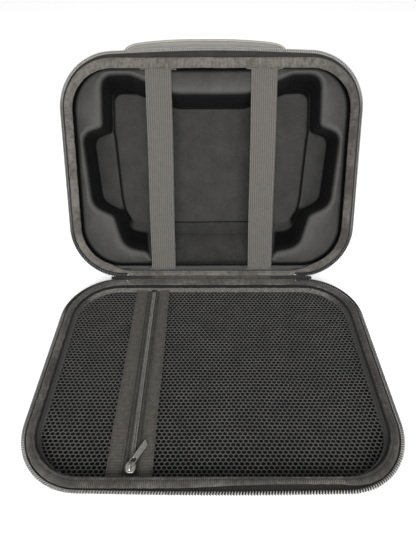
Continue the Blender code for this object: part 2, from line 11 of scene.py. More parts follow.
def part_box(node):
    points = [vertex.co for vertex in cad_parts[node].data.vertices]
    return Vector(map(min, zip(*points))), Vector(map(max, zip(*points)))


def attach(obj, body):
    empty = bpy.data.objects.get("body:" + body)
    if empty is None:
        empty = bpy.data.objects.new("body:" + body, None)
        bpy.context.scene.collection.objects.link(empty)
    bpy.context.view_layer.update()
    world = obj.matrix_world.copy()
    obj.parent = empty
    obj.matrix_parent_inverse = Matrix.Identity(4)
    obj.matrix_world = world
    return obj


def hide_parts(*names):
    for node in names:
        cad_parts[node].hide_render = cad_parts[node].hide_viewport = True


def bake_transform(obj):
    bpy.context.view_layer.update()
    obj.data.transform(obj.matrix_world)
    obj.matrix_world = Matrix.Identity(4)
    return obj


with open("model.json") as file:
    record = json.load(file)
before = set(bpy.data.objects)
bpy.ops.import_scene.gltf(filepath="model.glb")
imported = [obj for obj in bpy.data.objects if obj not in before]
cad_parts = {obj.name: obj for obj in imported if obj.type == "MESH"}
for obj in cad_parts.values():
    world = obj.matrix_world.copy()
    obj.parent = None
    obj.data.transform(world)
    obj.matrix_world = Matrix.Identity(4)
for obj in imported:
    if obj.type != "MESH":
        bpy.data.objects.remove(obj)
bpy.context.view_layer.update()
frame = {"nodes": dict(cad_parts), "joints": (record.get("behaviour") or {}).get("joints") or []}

# ------------------------------------------------------------------ sizes from the frame, in mm
JOINTS = {joint["name"]: joint for joint in frame["joints"]}


def node_box(name):
    """Lowest and highest corner of a CAD node, in millimetres."""
    low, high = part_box(name)
    return low * 1000.0, high * 1000.0


HINGE = Vector(JOINTS["lid_hinge"]["pos_m"]) * 1000.0
TILT = 180.0 + JOINTS["lid_hinge"]["range_deg"][0]
RIM = HINGE.z
HALF_DEPTH = HINGE.y
HALF_WIDTH = node_box("base_zip_coil")[1].x
CORNER = 52.0  # radius of the zip line's corners

# Frames: BASE on the base's rim; LID on the lid's rim; LID_HINGE the same, from the hinge line.
BASE = Matrix.Translation((0.0, 0.0, RIM))
LID_HINGE = Matrix.Translation(HINGE) @ Matrix.Rotation(math.radians(TILT), 4, "X")
LID = LID_HINGE @ Matrix.Translation((0.0, HALF_DEPTH, 0.0))

# Depths below a rim.
FLANGE = 8.0
SHELF = 45.0
FLOOR = 52.0
NET_DEPTH = 8.0
LID_EDGE_DEPTH = 57.0
BASE_EDGE_DEPTH = RIM - 10.0

ZIP_END = 88.5  # from the hinge's middle, along the zip line
ZIP_PITCH = 2.0
POCKET_PITCH = 1.25
NET_EDGE = 13.2  # how far inside the zip line the net ends
TRAY_THICK = 3.5
MOUTH_DROP, MOUTH_REACH = 4.6, 4.4  # rounding of the recess's mouth
HINGE_HALF = 62.0
# Painted shade: how much a fabric's attribute "shade" darkens it.
SHADE_STEP = 0.24  # how much darker a fabric is where its attribute "shade" is 1
POCKET_X = (node_box("pocket_coil_left")[1].x + node_box("pocket_coil_right")[0].x) / 2

rng = np.random.default_rng(11)


# ------------------------------------------------------------------------------- materials
def new_material(name, roughness, metallic=0.0, sheen=0.0, specular=0.5):
    """Principled material with its constants set on the shader's own sockets."""
    material = bpy.data.materials.new(name)
    material.use_nodes = True
    tree = material.node_tree
    shader = tree.nodes["Principled BSDF"]
    for socket, value in (("Roughness", roughness), ("Metallic", metallic),
                          ("Sheen Weight", sheen), ("Sheen Roughness", 0.45),
                          ("Specular IOR Level", specular)):
        shader.inputs[socket].default_value = value
    return material, tree, shader


def math_node(tree, operation, first, second=None):
    """A Math node fed by sockets or numbers."""
    node = tree.nodes.new("ShaderNodeMath")
    node.operation = operation
    for socket, value in zip(node.inputs, (first, second)):
        if value is None:
            continue
        if isinstance(value, (int, float)):
            socket.default_value = value
        else:
            tree.links.new(value, socket)
    return node.outputs[0]


def wave(tree, coordinate, pitch):
    """0..1 ripple of a UV coordinate in millimetres."""
    turned = math_node(tree, "MULTIPLY", coordinate, 2 * math.pi / pitch)
    sine = math_node(tree, "SINE", turned)
    return math_node(tree, "MULTIPLY_ADD", sine, 0.5)


def noise(tree, scale, detail=3.0, roughness=0.6):
    """Noise over object space, with its scale in 1/m."""
    coordinates = tree.nodes.new("ShaderNodeTexCoord")
    texture = tree.nodes.new("ShaderNodeTexNoise")
    texture.inputs["Scale"].default_value = scale
    texture.inputs["Detail"].default_value = detail
    texture.inputs["Roughness"].default_value = roughness
    tree.links.new(coordinates.outputs["Object"], texture.inputs["Vector"])
    return texture.outputs["Fac"]


def ramp(tree, factor, dark, light, low=0.3, high=0.7):
    """Colour ramp between two colours."""
    node = tree.nodes.new("ShaderNodeValToRGB")
    node.color_ramp.elements[0].position = low
    node.color_ramp.elements[0].color = (*dark, 1.0)
    node.color_ramp.elements[1].position = high
    node.color_ramp.elements[1].color = (*light, 1.0)
    tree.links.new(factor, node.inputs["Fac"])
    return node.outputs["Color"]


def mix_factor(tree, first, second, share):
    """Blend of two greys."""
    scaled = math_node(tree, "MULTIPLY", first, 1.0 - share)
    other = math_node(tree, "MULTIPLY", second, share)
    return math_node(tree, "ADD", scaled, other)


def attribute(tree, name):
    """A number that set_points stored on the mesh."""
    node = tree.nodes.new("ShaderNodeAttribute")
    node.attribute_name = name
    return node.outputs["Fac"]


def mix_colour(tree, factor, first, second):
    """Blend from one colour to another, which is a socket or a constant."""
    node = tree.nodes.new("ShaderNodeMix")
    node.data_type = "RGBA"
    tree.links.new(factor, node.inputs[0])
    tree.links.new(first, node.inputs[6])
    if isinstance(second, tuple):
        node.inputs[7].default_value = second
    else:
        tree.links.new(second, node.inputs[7])
    return node.outputs[2]


def bump(tree, shader, height, distance):
    """Bump from a height in millimetres of relief."""
    node = tree.nodes.new("ShaderNodeBump")
    node.inputs["Strength"].default_value = 1.0
    node.inputs["Distance"].default_value = distance * 0.001
    tree.links.new(height, node.inputs["Height"])
    tree.links.new(node.outputs["Normal"], shader.inputs["Normal"])


def ribbed_fabric(name, dark, light, along=1.0, across=None, relief=0.18, roughness=0.85,
                  sheen=0.3, mottle=160.0, blotch=0.3, rib_share=0.5):
    """Woven band: ribs across its length, ribs along it, fibre noise and soft mottling."""
    material, tree, shader = new_material(name, roughness, sheen=sheen, specular=0.3)
    uv = tree.nodes.new("ShaderNodeUVMap")
    parts = tree.nodes.new("ShaderNodeSeparateXYZ")
    tree.links.new(uv.outputs["UV"], parts.inputs[0])
    weave = wave(tree, parts.outputs["X"], along) if along else None
    if across:
        second = wave(tree, parts.outputs["Y"], across)
        weave = second if weave is None else mix_factor(tree, weave, second, rib_share)
    fibre = noise(tree, 2600.0, 2.0)
    surface = mix_factor(tree, weave, fibre, 0.6)
    patch = noise(tree, mottle, 4.0)
    tone = mix_factor(tree, surface, patch, blotch)
    # Painted shade where the attribute "shade" is above 0, painted light where it is below 0.
    darker = math_node(tree, "MULTIPLY", attribute(tree, "shade"), SHADE_STEP)
    tone = math_node(tree, "SUBTRACT", tone, darker)
    tree.links.new(ramp(tree, tone, dark, light, 0.35, 0.65), shader.inputs["Base Color"])
    bump(tree, shader, surface, relief)
    return material


def napped_fabric(name, dark, light, grain=1900.0, relief=0.12, sheen=0.6, roughness=0.92,
                  mottle=45.0):
    """Short-pile or knitted cloth bonded to foam."""
    material, tree, shader = new_material(name, roughness, sheen=sheen, specular=0.25)
    pile = noise(tree, grain, 3.0, 0.7)
    patch = noise(tree, mottle, 5.0, 0.6)
    tone = mix_factor(tree, pile, patch, 0.35)
    tree.links.new(ramp(tree, tone, dark, light, 0.3, 0.7), shader.inputs["Base Color"])
    bump(tree, shader, pile, relief)
    return material


def worn_metal(name, dark, light, roughness=0.42):
    """Gunmetal plating with fine scratches."""
    material, tree, shader = new_material(name, roughness, metallic=1.0)
    scratch = noise(tree, 900.0, 6.0, 0.7)
    tree.links.new(ramp(tree, scratch, dark, light), shader.inputs["Base Color"])
    rough = math_node(tree, "MULTIPLY_ADD", scratch, 0.25)
    rough.node.inputs[2].default_value = roughness - 0.1
    tree.links.new(rough, shader.inputs["Roughness"])
    bump(tree, shader, scratch, 0.02)
    return material


def nylon(name, dark, light, roughness=0.42):
    """Monofilament with slight tone changes, and painted shade towards near black where the
    attribute "shade" is 1.
    """
    material, tree, shader = new_material(name, roughness, specular=0.5)
    patch = noise(tree, 700.0, 3.0)
    colour = mix_colour(tree, attribute(tree, "shade"), ramp(tree, patch, dark, light),
                        (0.008, 0.008, 0.008, 1.0))
    tree.links.new(colour, shader.inputs["Base Color"])
    bump(tree, shader, patch, 0.03)
    return material


def wall_velour(name, flat_dark, flat_light, painted_shade_dark, painted_shade_light):
    """Velour with painted shade on its walls and a painted highlight on its mouth's rounding,
    each set by a number per point.
    """
    material, tree, shader = new_material(name, 0.96, sheen=0.02, specular=0.05)
    pile = noise(tree, 1900.0, 3.0, 0.7)
    patch = noise(tree, 60.0, 5.0, 0.6)
    tone = mix_factor(tree, pile, patch, 0.28)
    # Painted highlight: lighter along the mouth's rounding.
    highlight_lift = math_node(tree, "MULTIPLY", attribute(tree, "painted_highlight"), 0.3)
    highlighted = math_node(tree, "ADD", tone, highlight_lift)
    # Painted shade: the near-black wall colours on the walls.
    colour = mix_colour(tree, attribute(tree, "painted_wall_shade"),
                        ramp(tree, highlighted, flat_dark, flat_light, 0.3, 0.8),
                        ramp(tree, tone, painted_shade_dark, painted_shade_light, 0.3, 0.7))
    tree.links.new(colour, shader.inputs["Base Color"])
    bump(tree, shader, pile, 0.12)
    return material


MATERIALS = {
    "grosgrain": ribbed_fabric("grosgrain", (0.030, 0.0275, 0.024), (0.168, 0.155, 0.136),
                               along=1.25, relief=0.3, sheen=0.22, blotch=0.45, mottle=230.0),
    "pocket_grosgrain": ribbed_fabric("pocket_grosgrain", (0.022, 0.0205, 0.018),
                                      (0.104, 0.096, 0.083), along=1.1, relief=0.25, sheen=0.15,
                                      blotch=0.35, mottle=260.0),
    "edge_tape": ribbed_fabric("edge_tape", (0.022, 0.0205, 0.0185), (0.19, 0.178, 0.16),
                               along=1.5, across=1.3, relief=0.4, blotch=0.62, mottle=620.0),
    "hinge_fabric": ribbed_fabric("hinge_fabric", (0.012, 0.011, 0.0095), (0.075, 0.068, 0.058),
                                  along=1.6, across=1.1, relief=0.25, blotch=0.5, sheen=0.1,
                                  mottle=300.0),
    "zip_tape": ribbed_fabric("zip_tape", (0.006, 0.0058, 0.0055), (0.034, 0.032, 0.029),
                              along=1.3, across=0.7, relief=0.2, sheen=0.02),
    "pocket_tape": ribbed_fabric("pocket_tape", (0.009, 0.0085, 0.0075), (0.062, 0.057, 0.049),
                                 along=1.1, across=2.3, relief=0.15, sheen=0.12),
    "elastic": ribbed_fabric("elastic", (0.055, 0.0515, 0.0455), (0.122, 0.116, 0.104),
                             along=0.9, across=2.05, relief=0.1, rib_share=0.7, blotch=0.12,
                             sheen=0.2),
    "webbing": ribbed_fabric("webbing", (0.26, 0.245, 0.215), (0.97, 0.92, 0.83),
                             along=1.9, across=2.4, relief=0.3, blotch=0.15, sheen=0.35),
    "shell_fabric": napped_fabric("shell_fabric", (0.022, 0.022, 0.024), (0.06, 0.06, 0.063),
                                  grain=1500.0, relief=0.15, sheen=0.35),
    # Velour: flat colours, then near-black wall colours that are painted shade.
    "velour": wall_velour("velour", (0.018, 0.0178, 0.0172), (0.078, 0.0768, 0.0735),
                          (0.0009, 0.0009, 0.001), (0.0042, 0.0042, 0.0044)),
    "lining": napped_fabric("lining", (0.003, 0.003, 0.0035), (0.012, 0.012, 0.013),
                            grain=1500.0, sheen=0.15),
    "net": napped_fabric("net", (0.022, 0.0215, 0.02), (0.125, 0.122, 0.112), grain=2600.0,
                         relief=0.06, sheen=0.2, mottle=60.0),
    "coil": nylon("coil", (0.26, 0.25, 0.235), (0.60, 0.585, 0.56)),
    "pocket_coil": nylon("pocket_coil", (0.10, 0.097, 0.09), (0.30, 0.29, 0.27)),
    "coil_core": nylon("coil_core", (0.004, 0.004, 0.004), (0.016, 0.016, 0.016), 0.7),
    "thread": nylon("thread", (0.02, 0.02, 0.02), (0.05, 0.05, 0.05), 0.7),
    "gunmetal": worn_metal("gunmetal", (0.22, 0.213, 0.195), (0.54, 0.525, 0.485)),
    "blackened": worn_metal("blackened", (0.010, 0.010, 0.010), (0.045, 0.044, 0.042), 0.5),
}


# ----------------------------------------------------------------------------- mesh helpers
def add_piece(name, skin, place, material, body, stands_for=(), sharp=35.0):
    """An object riding on a CAD body; skin is its points in mm, faces and any corner UVs."""
    points, faces, *corners = skin
    array = np.asarray(points, float).reshape(-1, 3)
    matrix = np.array(place)
    world = (array @ matrix[:3, :3].T + matrix[:3, 3]) * 0.001
    mesh = bpy.data.meshes.new(name)
    mesh.from_pydata(world.tolist(), [], [list(face) for face in faces])
    if corners:
        layer = mesh.uv_layers.new(name="UVMap")
        layer.data.foreach_set("uv", np.asarray(corners[0], np.float32).ravel())
    mesh.materials.append(MATERIALS[material])
    bm = bmesh.new()
    bm.from_mesh(mesh)
    bmesh.ops.recalc_face_normals(bm, faces=bm.faces)
    bm.to_mesh(mesh)
    bm.free()
    mesh.shade_smooth()
    mesh.set_sharp_from_angle(angle=math.radians(sharp))
    piece = bpy.data.objects.new(name, mesh)
    bpy.context.scene.collection.objects.link(piece)
    if body:
        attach(piece, body)
    if stands_for:
        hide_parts(*stands_for)
    return piece


def set_points(piece, name, values):
    """A number per point, which a material reads by its name."""
    layer = piece.data.attributes.new(name, "FLOAT", "POINT")
    layer.data.foreach_set("value", values)


def loft(rings, wrap=False, caps=False, swap=False):
    """Points, faces and corner UVs in mm of a skin over closed loops of equal length."""
    rings = [np.asarray(ring, float) for ring in rings]
    count = len(rings[0])
    loop_step = np.linalg.norm(np.roll(rings[0], -1, 0) - rings[0], axis=1)
    loop_at = np.concatenate([[0.0], np.cumsum(loop_step)])
    ring_step = [np.linalg.norm(b[0] - a[0]) for a, b in zip(rings, rings[1:] + rings[:1])]
    ring_at = np.concatenate([[0.0], np.cumsum(ring_step)])
    faces, uv = [], []
    total = len(rings) if wrap else len(rings) - 1
    for r in range(total):
        near, far = r * count, ((r + 1) % len(rings)) * count
        for i in range(count):
            j = (i + 1) % count
            faces.append((near + i, near + j, far + j, far + i))
            corners = [(loop_at[i], ring_at[r]), (loop_at[i + 1], ring_at[r]),
                       (loop_at[i + 1], ring_at[r + 1]), (loop_at[i], ring_at[r + 1])]
            uv += [(b, a) for a, b in corners] if swap else corners
    if caps:
        for first in (0, (len(rings) - 1) * count):
            face = list(range(first, first + count))
            faces.append(face)
            uv += [(point[0], point[1]) for point in rings[first // count]]
    return np.concatenate(rings), faces, uv


def tube(centres, outward, radius, sides=6):
    """Round tube along centres; outward gives a direction across the tube at each point."""
    centres = np.asarray(centres, float)
    tangent = np.gradient(centres, axis=0)
    tangent /= np.linalg.norm(tangent, axis=1)[:, None]
    across = outward - (outward * tangent).sum(1)[:, None] * tangent
    across /= np.linalg.norm(across, axis=1)[:, None]
    other = np.cross(tangent, across)
    angles = np.linspace(0, 2 * math.pi, sides, endpoint=False)
    rings = [centre + radius * (np.outer(np.cos(angles), a) + np.outer(np.sin(angles), b))
             for centre, a, b in zip(centres, across, other)]
    return loft(rings, caps=True, swap=True)


def scattered(template, frames):
    """Copies of a small template (points, faces), each at its own axes and origin."""
    points, faces = np.asarray(template[0], float), template[1]
    all_points, all_faces = [], []
    for number, (axes, origin) in enumerate(frames):
        all_points.append(points @ np.asarray(axes) + np.asarray(origin))
        all_faces += [[index + number * len(points) for index in face] for face in faces]
    return np.concatenate(all_points), all_faces


def stitch_template(length, width, height):
    """One raised thread stitch along x."""
    points, faces = [], []
    for x, size in ((-0.5, 0.35), (-0.3, 1.0), (0.3, 1.0), (0.5, 0.35)):
        for y, z in ((-0.5, 0.0), (-0.3, 0.8), (0.3, 0.8), (0.5, 0.0)):
            points.append((x * length, y * width * size, z * height * size))
    for r in range(3):
        for i in range(4):
            j = (i + 1) % 4
            faces.append((r * 4 + i, r * 4 + j, r * 4 + 4 + j, r * 4 + 4 + i))
    faces += [(0, 1, 2, 3), (12, 13, 14, 15)]
    return points, faces


# -------------------------------------------------------------------------- the case outline
class Track:
    """The zip line around the case, hinge side at +y, sampled evenly from the hinge's middle."""

    def __init__(self, spacing):
        straight_x = HALF_WIDTH - CORNER
        straight_y = HALF_DEPTH - CORNER
        arc = CORNER * math.pi / 2
        lengths = [straight_x, arc, 2 * straight_y, arc, 2 * straight_x, arc, 2 * straight_y, arc,
                   straight_x]
        runs = {0: ((0.0, HALF_DEPTH), (-1, 0)), 2: ((-HALF_WIDTH, straight_y), (0, -1)),
                4: ((-straight_x, -HALF_DEPTH), (1, 0)), 6: ((HALF_WIDTH, -straight_y), (0, 1)),
                8: ((straight_x, HALF_DEPTH), (-1, 0))}
        edges = np.concatenate([[0.0], np.cumsum(lengths)])
        self.length = edges[-1]
        count = int(round(self.length / spacing))
        self.at = np.linspace(0.0, self.length, count, endpoint=False)
        points, normals = [], []
        for s in self.at:
            part = int(np.searchsorted(edges, s, side="right")) - 1
            done = s - edges[part]
            if part % 2 == 0:
                (x, y), way = runs[part]
                point = (x + way[0] * done, y + way[1] * done)
                normal = (way[1], -way[0])
            else:
                turn = math.radians(90.0) * (part + 1) / 2 + done / CORNER
                normal = (math.cos(turn), math.sin(turn))
                side = -1 if part in (1, 3) else 1
                end = 1 if part in (1, 7) else -1
                point = (side * straight_x + CORNER * normal[0],
                         end * straight_y + CORNER * normal[1])
            points.append(point)
            normals.append(normal)
        self.points = np.array(points)
        self.normals = np.array(normals)

    def ring(self, inset, depth, flip):
        """Loop at an inset and depth, each a number or an array along the track."""
        inset = np.broadcast_to(inset, len(self.at))
        depth = np.broadcast_to(depth, len(self.at))
        flat = self.points - self.normals * inset[:, None]
        return np.column_stack([flat[:, 0], flip * flat[:, 1], -depth])

    def between(self, start, end, step):
        """Points and normals at even steps between two places along the track."""
        at = np.arange(start, end, step)
        points = np.column_stack([np.interp(at, self.at, self.points[:, k]) for k in (0, 1)])
        normals = np.column_stack([np.interp(at, self.at, self.normals[:, k]) for k in (0, 1)])
        return at, points, normals / np.linalg.norm(normals, axis=1)[:, None]


TRACK = Track(2.0)
FINE_TRACK = Track(0.5)


def smooth_noise(count, scale, size):
    """Closed random curve: a few harmonics up to a scale, with a given size."""
    angle = np.linspace(0, 2 * math.pi, count, endpoint=False)
    total = np.zeros(count)
    for harmonic in range(max(2, scale // 3), scale):
        phase, weight = rng.uniform(0, 2 * math.pi), rng.normal()
        total += weight * np.sin(harmonic * angle + phase)
    return size * total / np.abs(total).max()


# --------------------------------------------------------------------------------- the shells
def shell_profile(top_inset, top_depth, centre_inset, centre_depth, radius, steps=10):
    """(inset, depth) from the rim down the wall and around the edge."""
    arc = [math.radians(90.0 * step / steps) for step in range(steps + 1)]
    turned = [(centre_inset - radius * math.cos(a), centre_depth + radius * math.sin(a))
              for a in arc]
    wall = [(top_inset, top_depth)]
    for share in (0.04, 0.35, 0.7):
        wall.append((top_inset + (turned[0][0] - top_inset) * share,
                     top_depth + (turned[0][1] - top_depth) * share))
    return wall + turned


def make_shell(name, outer, inner, flip, place, body, material, stands_for):
    """Closed moulded shell from an outer and an inner profile."""
    profile = list(reversed(outer)) + list(inner)
    rings = [TRACK.ring(inset, depth, flip) for inset, depth in profile]
    skin = loft(rings, caps=True)
    add_piece(name, skin, place, material, body, stands_for)


def make_shells():
    """Both moulded halves and the dark lining under the net."""
    make_shell("base_shell_skin", shell_profile(5.0, 3.1, 16.0, BASE_EDGE_DEPTH, 10.0),
               shell_profile(9.3, 3.1, 16.0, BASE_EDGE_DEPTH, 6.5), 1, BASE, "base",
               "shell_fabric", ["base_shell"])
    make_shell("base_lining_skin", shell_profile(9.85, 9.6, 16.0, BASE_EDGE_DEPTH, 6.15),
               shell_profile(10.65, 9.6, 16.0, BASE_EDGE_DEPTH, 5.35), 1, BASE, "base",
               "lining", ["base_lining"])
    make_shell("lid_shell_skin", shell_profile(5.0, 3.1, 18.0, LID_EDGE_DEPTH, 11.0),
               shell_profile(9.3, 3.1, 18.0, LID_EDGE_DEPTH, 7.0), -1, LID, "lid",
               "shell_fabric", ["lid_shell"])


# ------------------------------------------------------------------------------ rim bindings
def hinge_share(track):
    """1 along the zip-free part of the hinge side, 0 elsewhere, smooth between."""
    on_back = track.points[:, 1] > HALF_DEPTH - 0.01
    share = np.clip((88.0 - np.abs(track.points[:, 0])) / 3.0, 0.0, 1.0)
    return np.where(on_back, share, 0.0)


def front_share(track):
    """1 along the front, 0 at the back, turning through the corners."""
    return np.clip(-track.normals[:, 1], 0.0, 1.0) ** 2


def make_binding(name, flip, place, body, inner_inset, hinge_inset, front_shift, front_tuck,
                 left_tuck, painted_light_and_shade, stands_for):
    """Grosgrain folded over the rim: domed, slightly gathered, with a rolled inner edge."""
    track = TRACK
    count = len(track.at)
    side_share = np.abs(track.normals[:, 0])
    gather = (smooth_noise(count, 150, 0.3) * (1.0 + side_share)
              + smooth_noise(count, 30, 0.3))
    lift = smooth_noise(count, 140, 0.2) * (1.0 + side_share)
    pleats = np.sin(track.at / 1.27 + 2.0 * np.sin(track.at / 19.0))
    lift = lift + 0.24 * side_share ** 2 * pleats
    front = front_share(track)
    shift = front * front_shift
    x = track.points[:, 0]
    slack = (0.25 + 0.75 * np.clip(x / 60.0 + 0.4, 0.0, 1.0)
             * np.clip((118.0 - x) / 30.0, 0.0, 1.0))
    outer = (4.8 + shift - 3.3 * hinge_share(track)
             - front * (front_tuck + left_tuck * (1.0 - slack)))
    back = np.where(track.points[:, 1] > HALF_DEPTH - 8.0,
                    np.clip((112.0 - np.abs(x)) / 30.0, 0.0, 1.0), 0.0)
    back = back * back * (3.0 - 2.0 * back)
    inner = inner_inset + shift + (hinge_inset - inner_inset) * back
    width = inner - outer
    # Share of the width and depth, around the band.
    section = ((0.0, 1.75), (-0.02, 1.3), (0.04, 0.75), (0.16, 0.36), (0.34, 0.17),
               (0.5, 0.2), (0.64, 0.5), (0.72, 0.88), (0.8, 0.62), (0.9, 0.62), (0.99, 1.1),
               (1.0, 1.75))
    rings = []
    for share, depth in section:
        edge = 2.0 * abs(share - 0.5)
        rings.append(track.ring(outer + width * share + gather * edge * 0.6,
                                np.maximum(depth + lift * (1.0 - 0.4 * edge), 0.1), flip))
    skin = loft(rings, wrap=True)
    binding = add_piece(name, skin, place, "grosgrain", body, stands_for, sharp=60.0)
    # Painted shade by place, tuned against the photograph: everywhere, on the right, at the hinge
    # (painted light where negative); then random tone changes along the band.
    even, right, at_hinge = painted_light_and_shade
    tone = (even + right * np.clip(track.normals[:, 0], 0.0, 1.0)
            + at_hinge * np.clip(track.normals[:, 1], 0.0, 1.0)
            + smooth_noise(count, 24, 0.35))
    set_points(binding, "shade", np.tile(tone, len(section)))
    frames = []
    at, flat, normals = FINE_TRACK.between(1.0, FINE_TRACK.length - 1.0, 3.1)
    local_shift = np.interp(at, track.at, inner)
    for (x, y), (nx, ny), inset in zip(flat, normals, local_shift):
        along = np.array([-ny, flip * nx, 0.0])
        up = np.array([0.0, 0.0, 1.0])
        across = np.cross(up, along)
        place_at = (x - nx * (inset - 1.55), flip * (y - ny * (inset - 1.55)), -0.86)
        frames.append(((along, across, up), place_at))
    skin = scattered(stitch_template(2.3, 0.5, 0.32), frames)
    add_piece(name + "_stitches", skin, place, "thread", body)


# -------------------------------------------------------------------------------- main zip
def front_bulge(x, normal_y, bulge):
    """How far the open zip stands out along the front."""
    front = np.clip(-normal_y, 0.0, 1.0) ** 4
    return bulge * front * np.cos(np.clip(x / 118.0, -1.0, 1.0) * math.pi / 2) ** 1.5


def zip_range(track):
    """Start and end of the open zip along the track."""
    return ZIP_END, track.length - ZIP_END


def make_zip(prefix, flip, place, body, front_shift, bulge):
    """Woven tape and a true coil, one turn per tooth, around a dark core.

    The free edge stands proud of the case by the bulge in the middle of the front."""
    start, end = zip_range(FINE_TRACK)
    at, flat, normals = FINE_TRACK.between(start - 4.0, end + 4.0, 2.0)
    wobble = 0.18 * np.sin(at / 17.0) + 0.12 * np.sin(at / 7.3 + 1.0)
    sections = []
    for (x, y), (nx, ny), w in zip(flat, normals, wobble):
        front = max(-ny, 0.0) ** 2 * front_shift
        proud = front_bulge(x, ny, bulge)
        ring = []
        for inset, depth in ((2.4 - proud, 2.5), (3.5 - proud, 2.15 + 0.2 * w),
                             (6.0 - 0.5 * proud, 2.9 + w * 0.5),
                             (8.8 + front * 0.6, 2.0), (8.8 + front * 0.6, 2.7),
                             (6.0 - 0.5 * proud, 3.5 + w * 0.5), (3.5 - proud, 2.8 + 0.2 * w),
                             (2.4 - proud, 3.1)):
            ring.append((x - nx * inset, flip * (y - ny * inset), -depth))
        sections.append(ring)
    skin = loft(sections, caps=True, swap=True)
    add_piece(prefix + "_tape_woven", skin, place, "zip_tape", body,
              [prefix + "_tape"], sharp=50.0)

    per_turn = 12
    at, flat, normals = FINE_TRACK.between(start, end, ZIP_PITCH / per_turn)
    angle = at * 2 * math.pi / ZIP_PITCH
    out = np.column_stack([normals[:, 0], flip * normals[:, 1], np.zeros(len(at))])
    up = np.array([0.0, 0.0, 1.0])
    middle = np.column_stack([flat[:, 0], flip * flat[:, 1], np.zeros(len(at))])
    proud = front_bulge(flat[:, 0], normals[:, 1], bulge)
    middle = middle - out * (1.68 - proud)[:, None] - up * 1.72
    radial = out * np.cos(angle)[:, None] + up * np.sin(angle)[:, None]
    flatten = out * (1.3 * np.cos(angle))[:, None] + up * (1.05 * np.sin(angle))[:, None]
    skin = tube(middle + flatten, radial, 0.42)
    coil = add_piece(prefix + "_coil_turns", skin, place, "coil", body,
                     [prefix + "_coil"], sharp=80.0)
    # Painted shade: the coil darker along the sides and the back, where the bands shade it.
    coil_shade = np.clip(normals[:, 1] * 1.6 + 0.65 * np.abs(normals[:, 0]), 0.0, 1.0)
    set_points(coil, "shade", np.repeat(coil_shade, len(skin[0]) // len(coil_shade)))
    steps = slice(0, None, per_turn)
    skin = tube(middle[steps], out[steps], 0.82, 8)
    add_piece(prefix + "_coil_core", skin, place, "coil_core", body, sharp=80.0)


# ------------------------------------------------------------------------------ recess tray
# Right half from the bottom centre to the top centre: x, y from the hinge line, radius.
MOUTH = ((61.0, 15.0, 6), (67.5, 26.0, 5), (91.0, 31.0, 25), (100.0, 63.5, 9),
         (121.0, 73.5, 17), (126.5, 143.0, 14), (106.0, 149.5, 7), (104.8, 196.5, 23),
         (78.0, 196.5, 14), (36.0, 179.0, 44))
SHELF_EDGE = ((58.0, 40.0, 5), (74.0, 40.0, 5), (89.0, 42.5, 13), (98.3, 64.5, 7),
              (119.2, 75.0, 16), (124.6, 141.5, 13), (104.8, 148.0, 6), (103.6, 190.5, 21),
              (78.0, 190.0, 12), (36.0, 173.0, 40))
STEP = ((58.0, 40.7, 5), (74.0, 40.7, 5), (88.0, 43.2, 12), (96.2, 65.0, 6),
        (98.6, 79.0, 10), (102.6, 140.0, 10), (103.9, 149.0, 6), (102.9, 189.9, 20),
        (78.0, 189.4, 12), (36.0, 172.4, 40))
RECESS_FLOOR = ((57.0, 49.5, 4), (74.0, 49.5, 4), (86.5, 49.8, 9), (95.2, 65.0, 6),
                (97.6, 79.0, 10), (101.6, 140.0, 10), (102.9, 149.0, 6), (101.9, 186.5, 17),
                (78.0, 186.0, 11), (36.0, 171.5, 38))
CORNER_STEPS = (4, 4, 10, 5, 8, 6, 5, 10, 4, 7)
RUN_STEPS = 5


def rounded_outline(corners):
    """Closed outline, symmetrical about x = 0, with curved corners and divided straights."""
    data = [(x, y, radius, steps) for (x, y, radius), steps in zip(corners, CORNER_STEPS)]
    ring = data + [(-x, y, radius, steps) for x, y, radius, steps in reversed(data)]
    bends = []
    for i, (x, y, radius, steps) in enumerate(ring):
        corner = Vector((x, y))
        to_before = Vector(ring[i - 1][:2]) - corner
        to_after = Vector(ring[(i + 1) % len(ring)][:2]) - corner
        half = to_before.angle(to_after) / 2
        longest = 0.46 * min(to_before.length, to_after.length)
        reach = min(max(radius / math.tan(half), 1.5), longest)
        first = corner + to_before.normalized() * reach
        last = corner + to_after.normalized() * reach
        bends.append([first.lerp(corner, s / steps).lerp(corner.lerp(last, s / steps), s / steps)
                      for s in range(steps + 1)])
    outline = []
    for bend, following in zip(bends, bends[1:] + bends[:1]):
        outline += bend
        for step in range(1, RUN_STEPS):
            outline.append(bend[-1].lerp(following[0], step / RUN_STEPS))
    return np.array([tuple(point) for point in outline])


def grown(outline, distance):
    """Anticlockwise outline moved outwards."""
    back = outline - np.roll(outline, 1, 0)
    ahead = np.roll(outline, -1, 0) - outline
    back /= np.linalg.norm(back, axis=1)[:, None]
    ahead /= np.linalg.norm(ahead, axis=1)[:, None]
    normal = np.column_stack([back[:, 1] + ahead[:, 1], -back[:, 0] - ahead[:, 0]])
    normal /= np.linalg.norm(normal, axis=1)[:, None]
    return outline + normal * distance


def spread_to_wall(outline, inset, centre_y=105.0):
    """Each outline point moved out from the recess centre to the case wall."""
    radius = CORNER - inset
    low, high = np.ones(len(outline)), np.full(len(outline), 4.0)
    offset = outline - np.array([0.0, centre_y])
    for _ in range(34):
        scale = (low + high) / 2
        x = np.abs(offset[:, 0] * scale) - (HALF_WIDTH - CORNER)
        y = np.abs(centre_y + offset[:, 1] * scale - HALF_DEPTH) - (HALF_DEPTH - CORNER)
        gap = np.hypot(np.maximum(x, 0), np.maximum(y, 0)) + np.minimum(np.maximum(x, y), 0)
        inside = gap < radius
        low, high = np.where(inside, scale, low), np.where(inside, high, scale)
    return np.array([0.0, centre_y]) + offset * low[:, None]


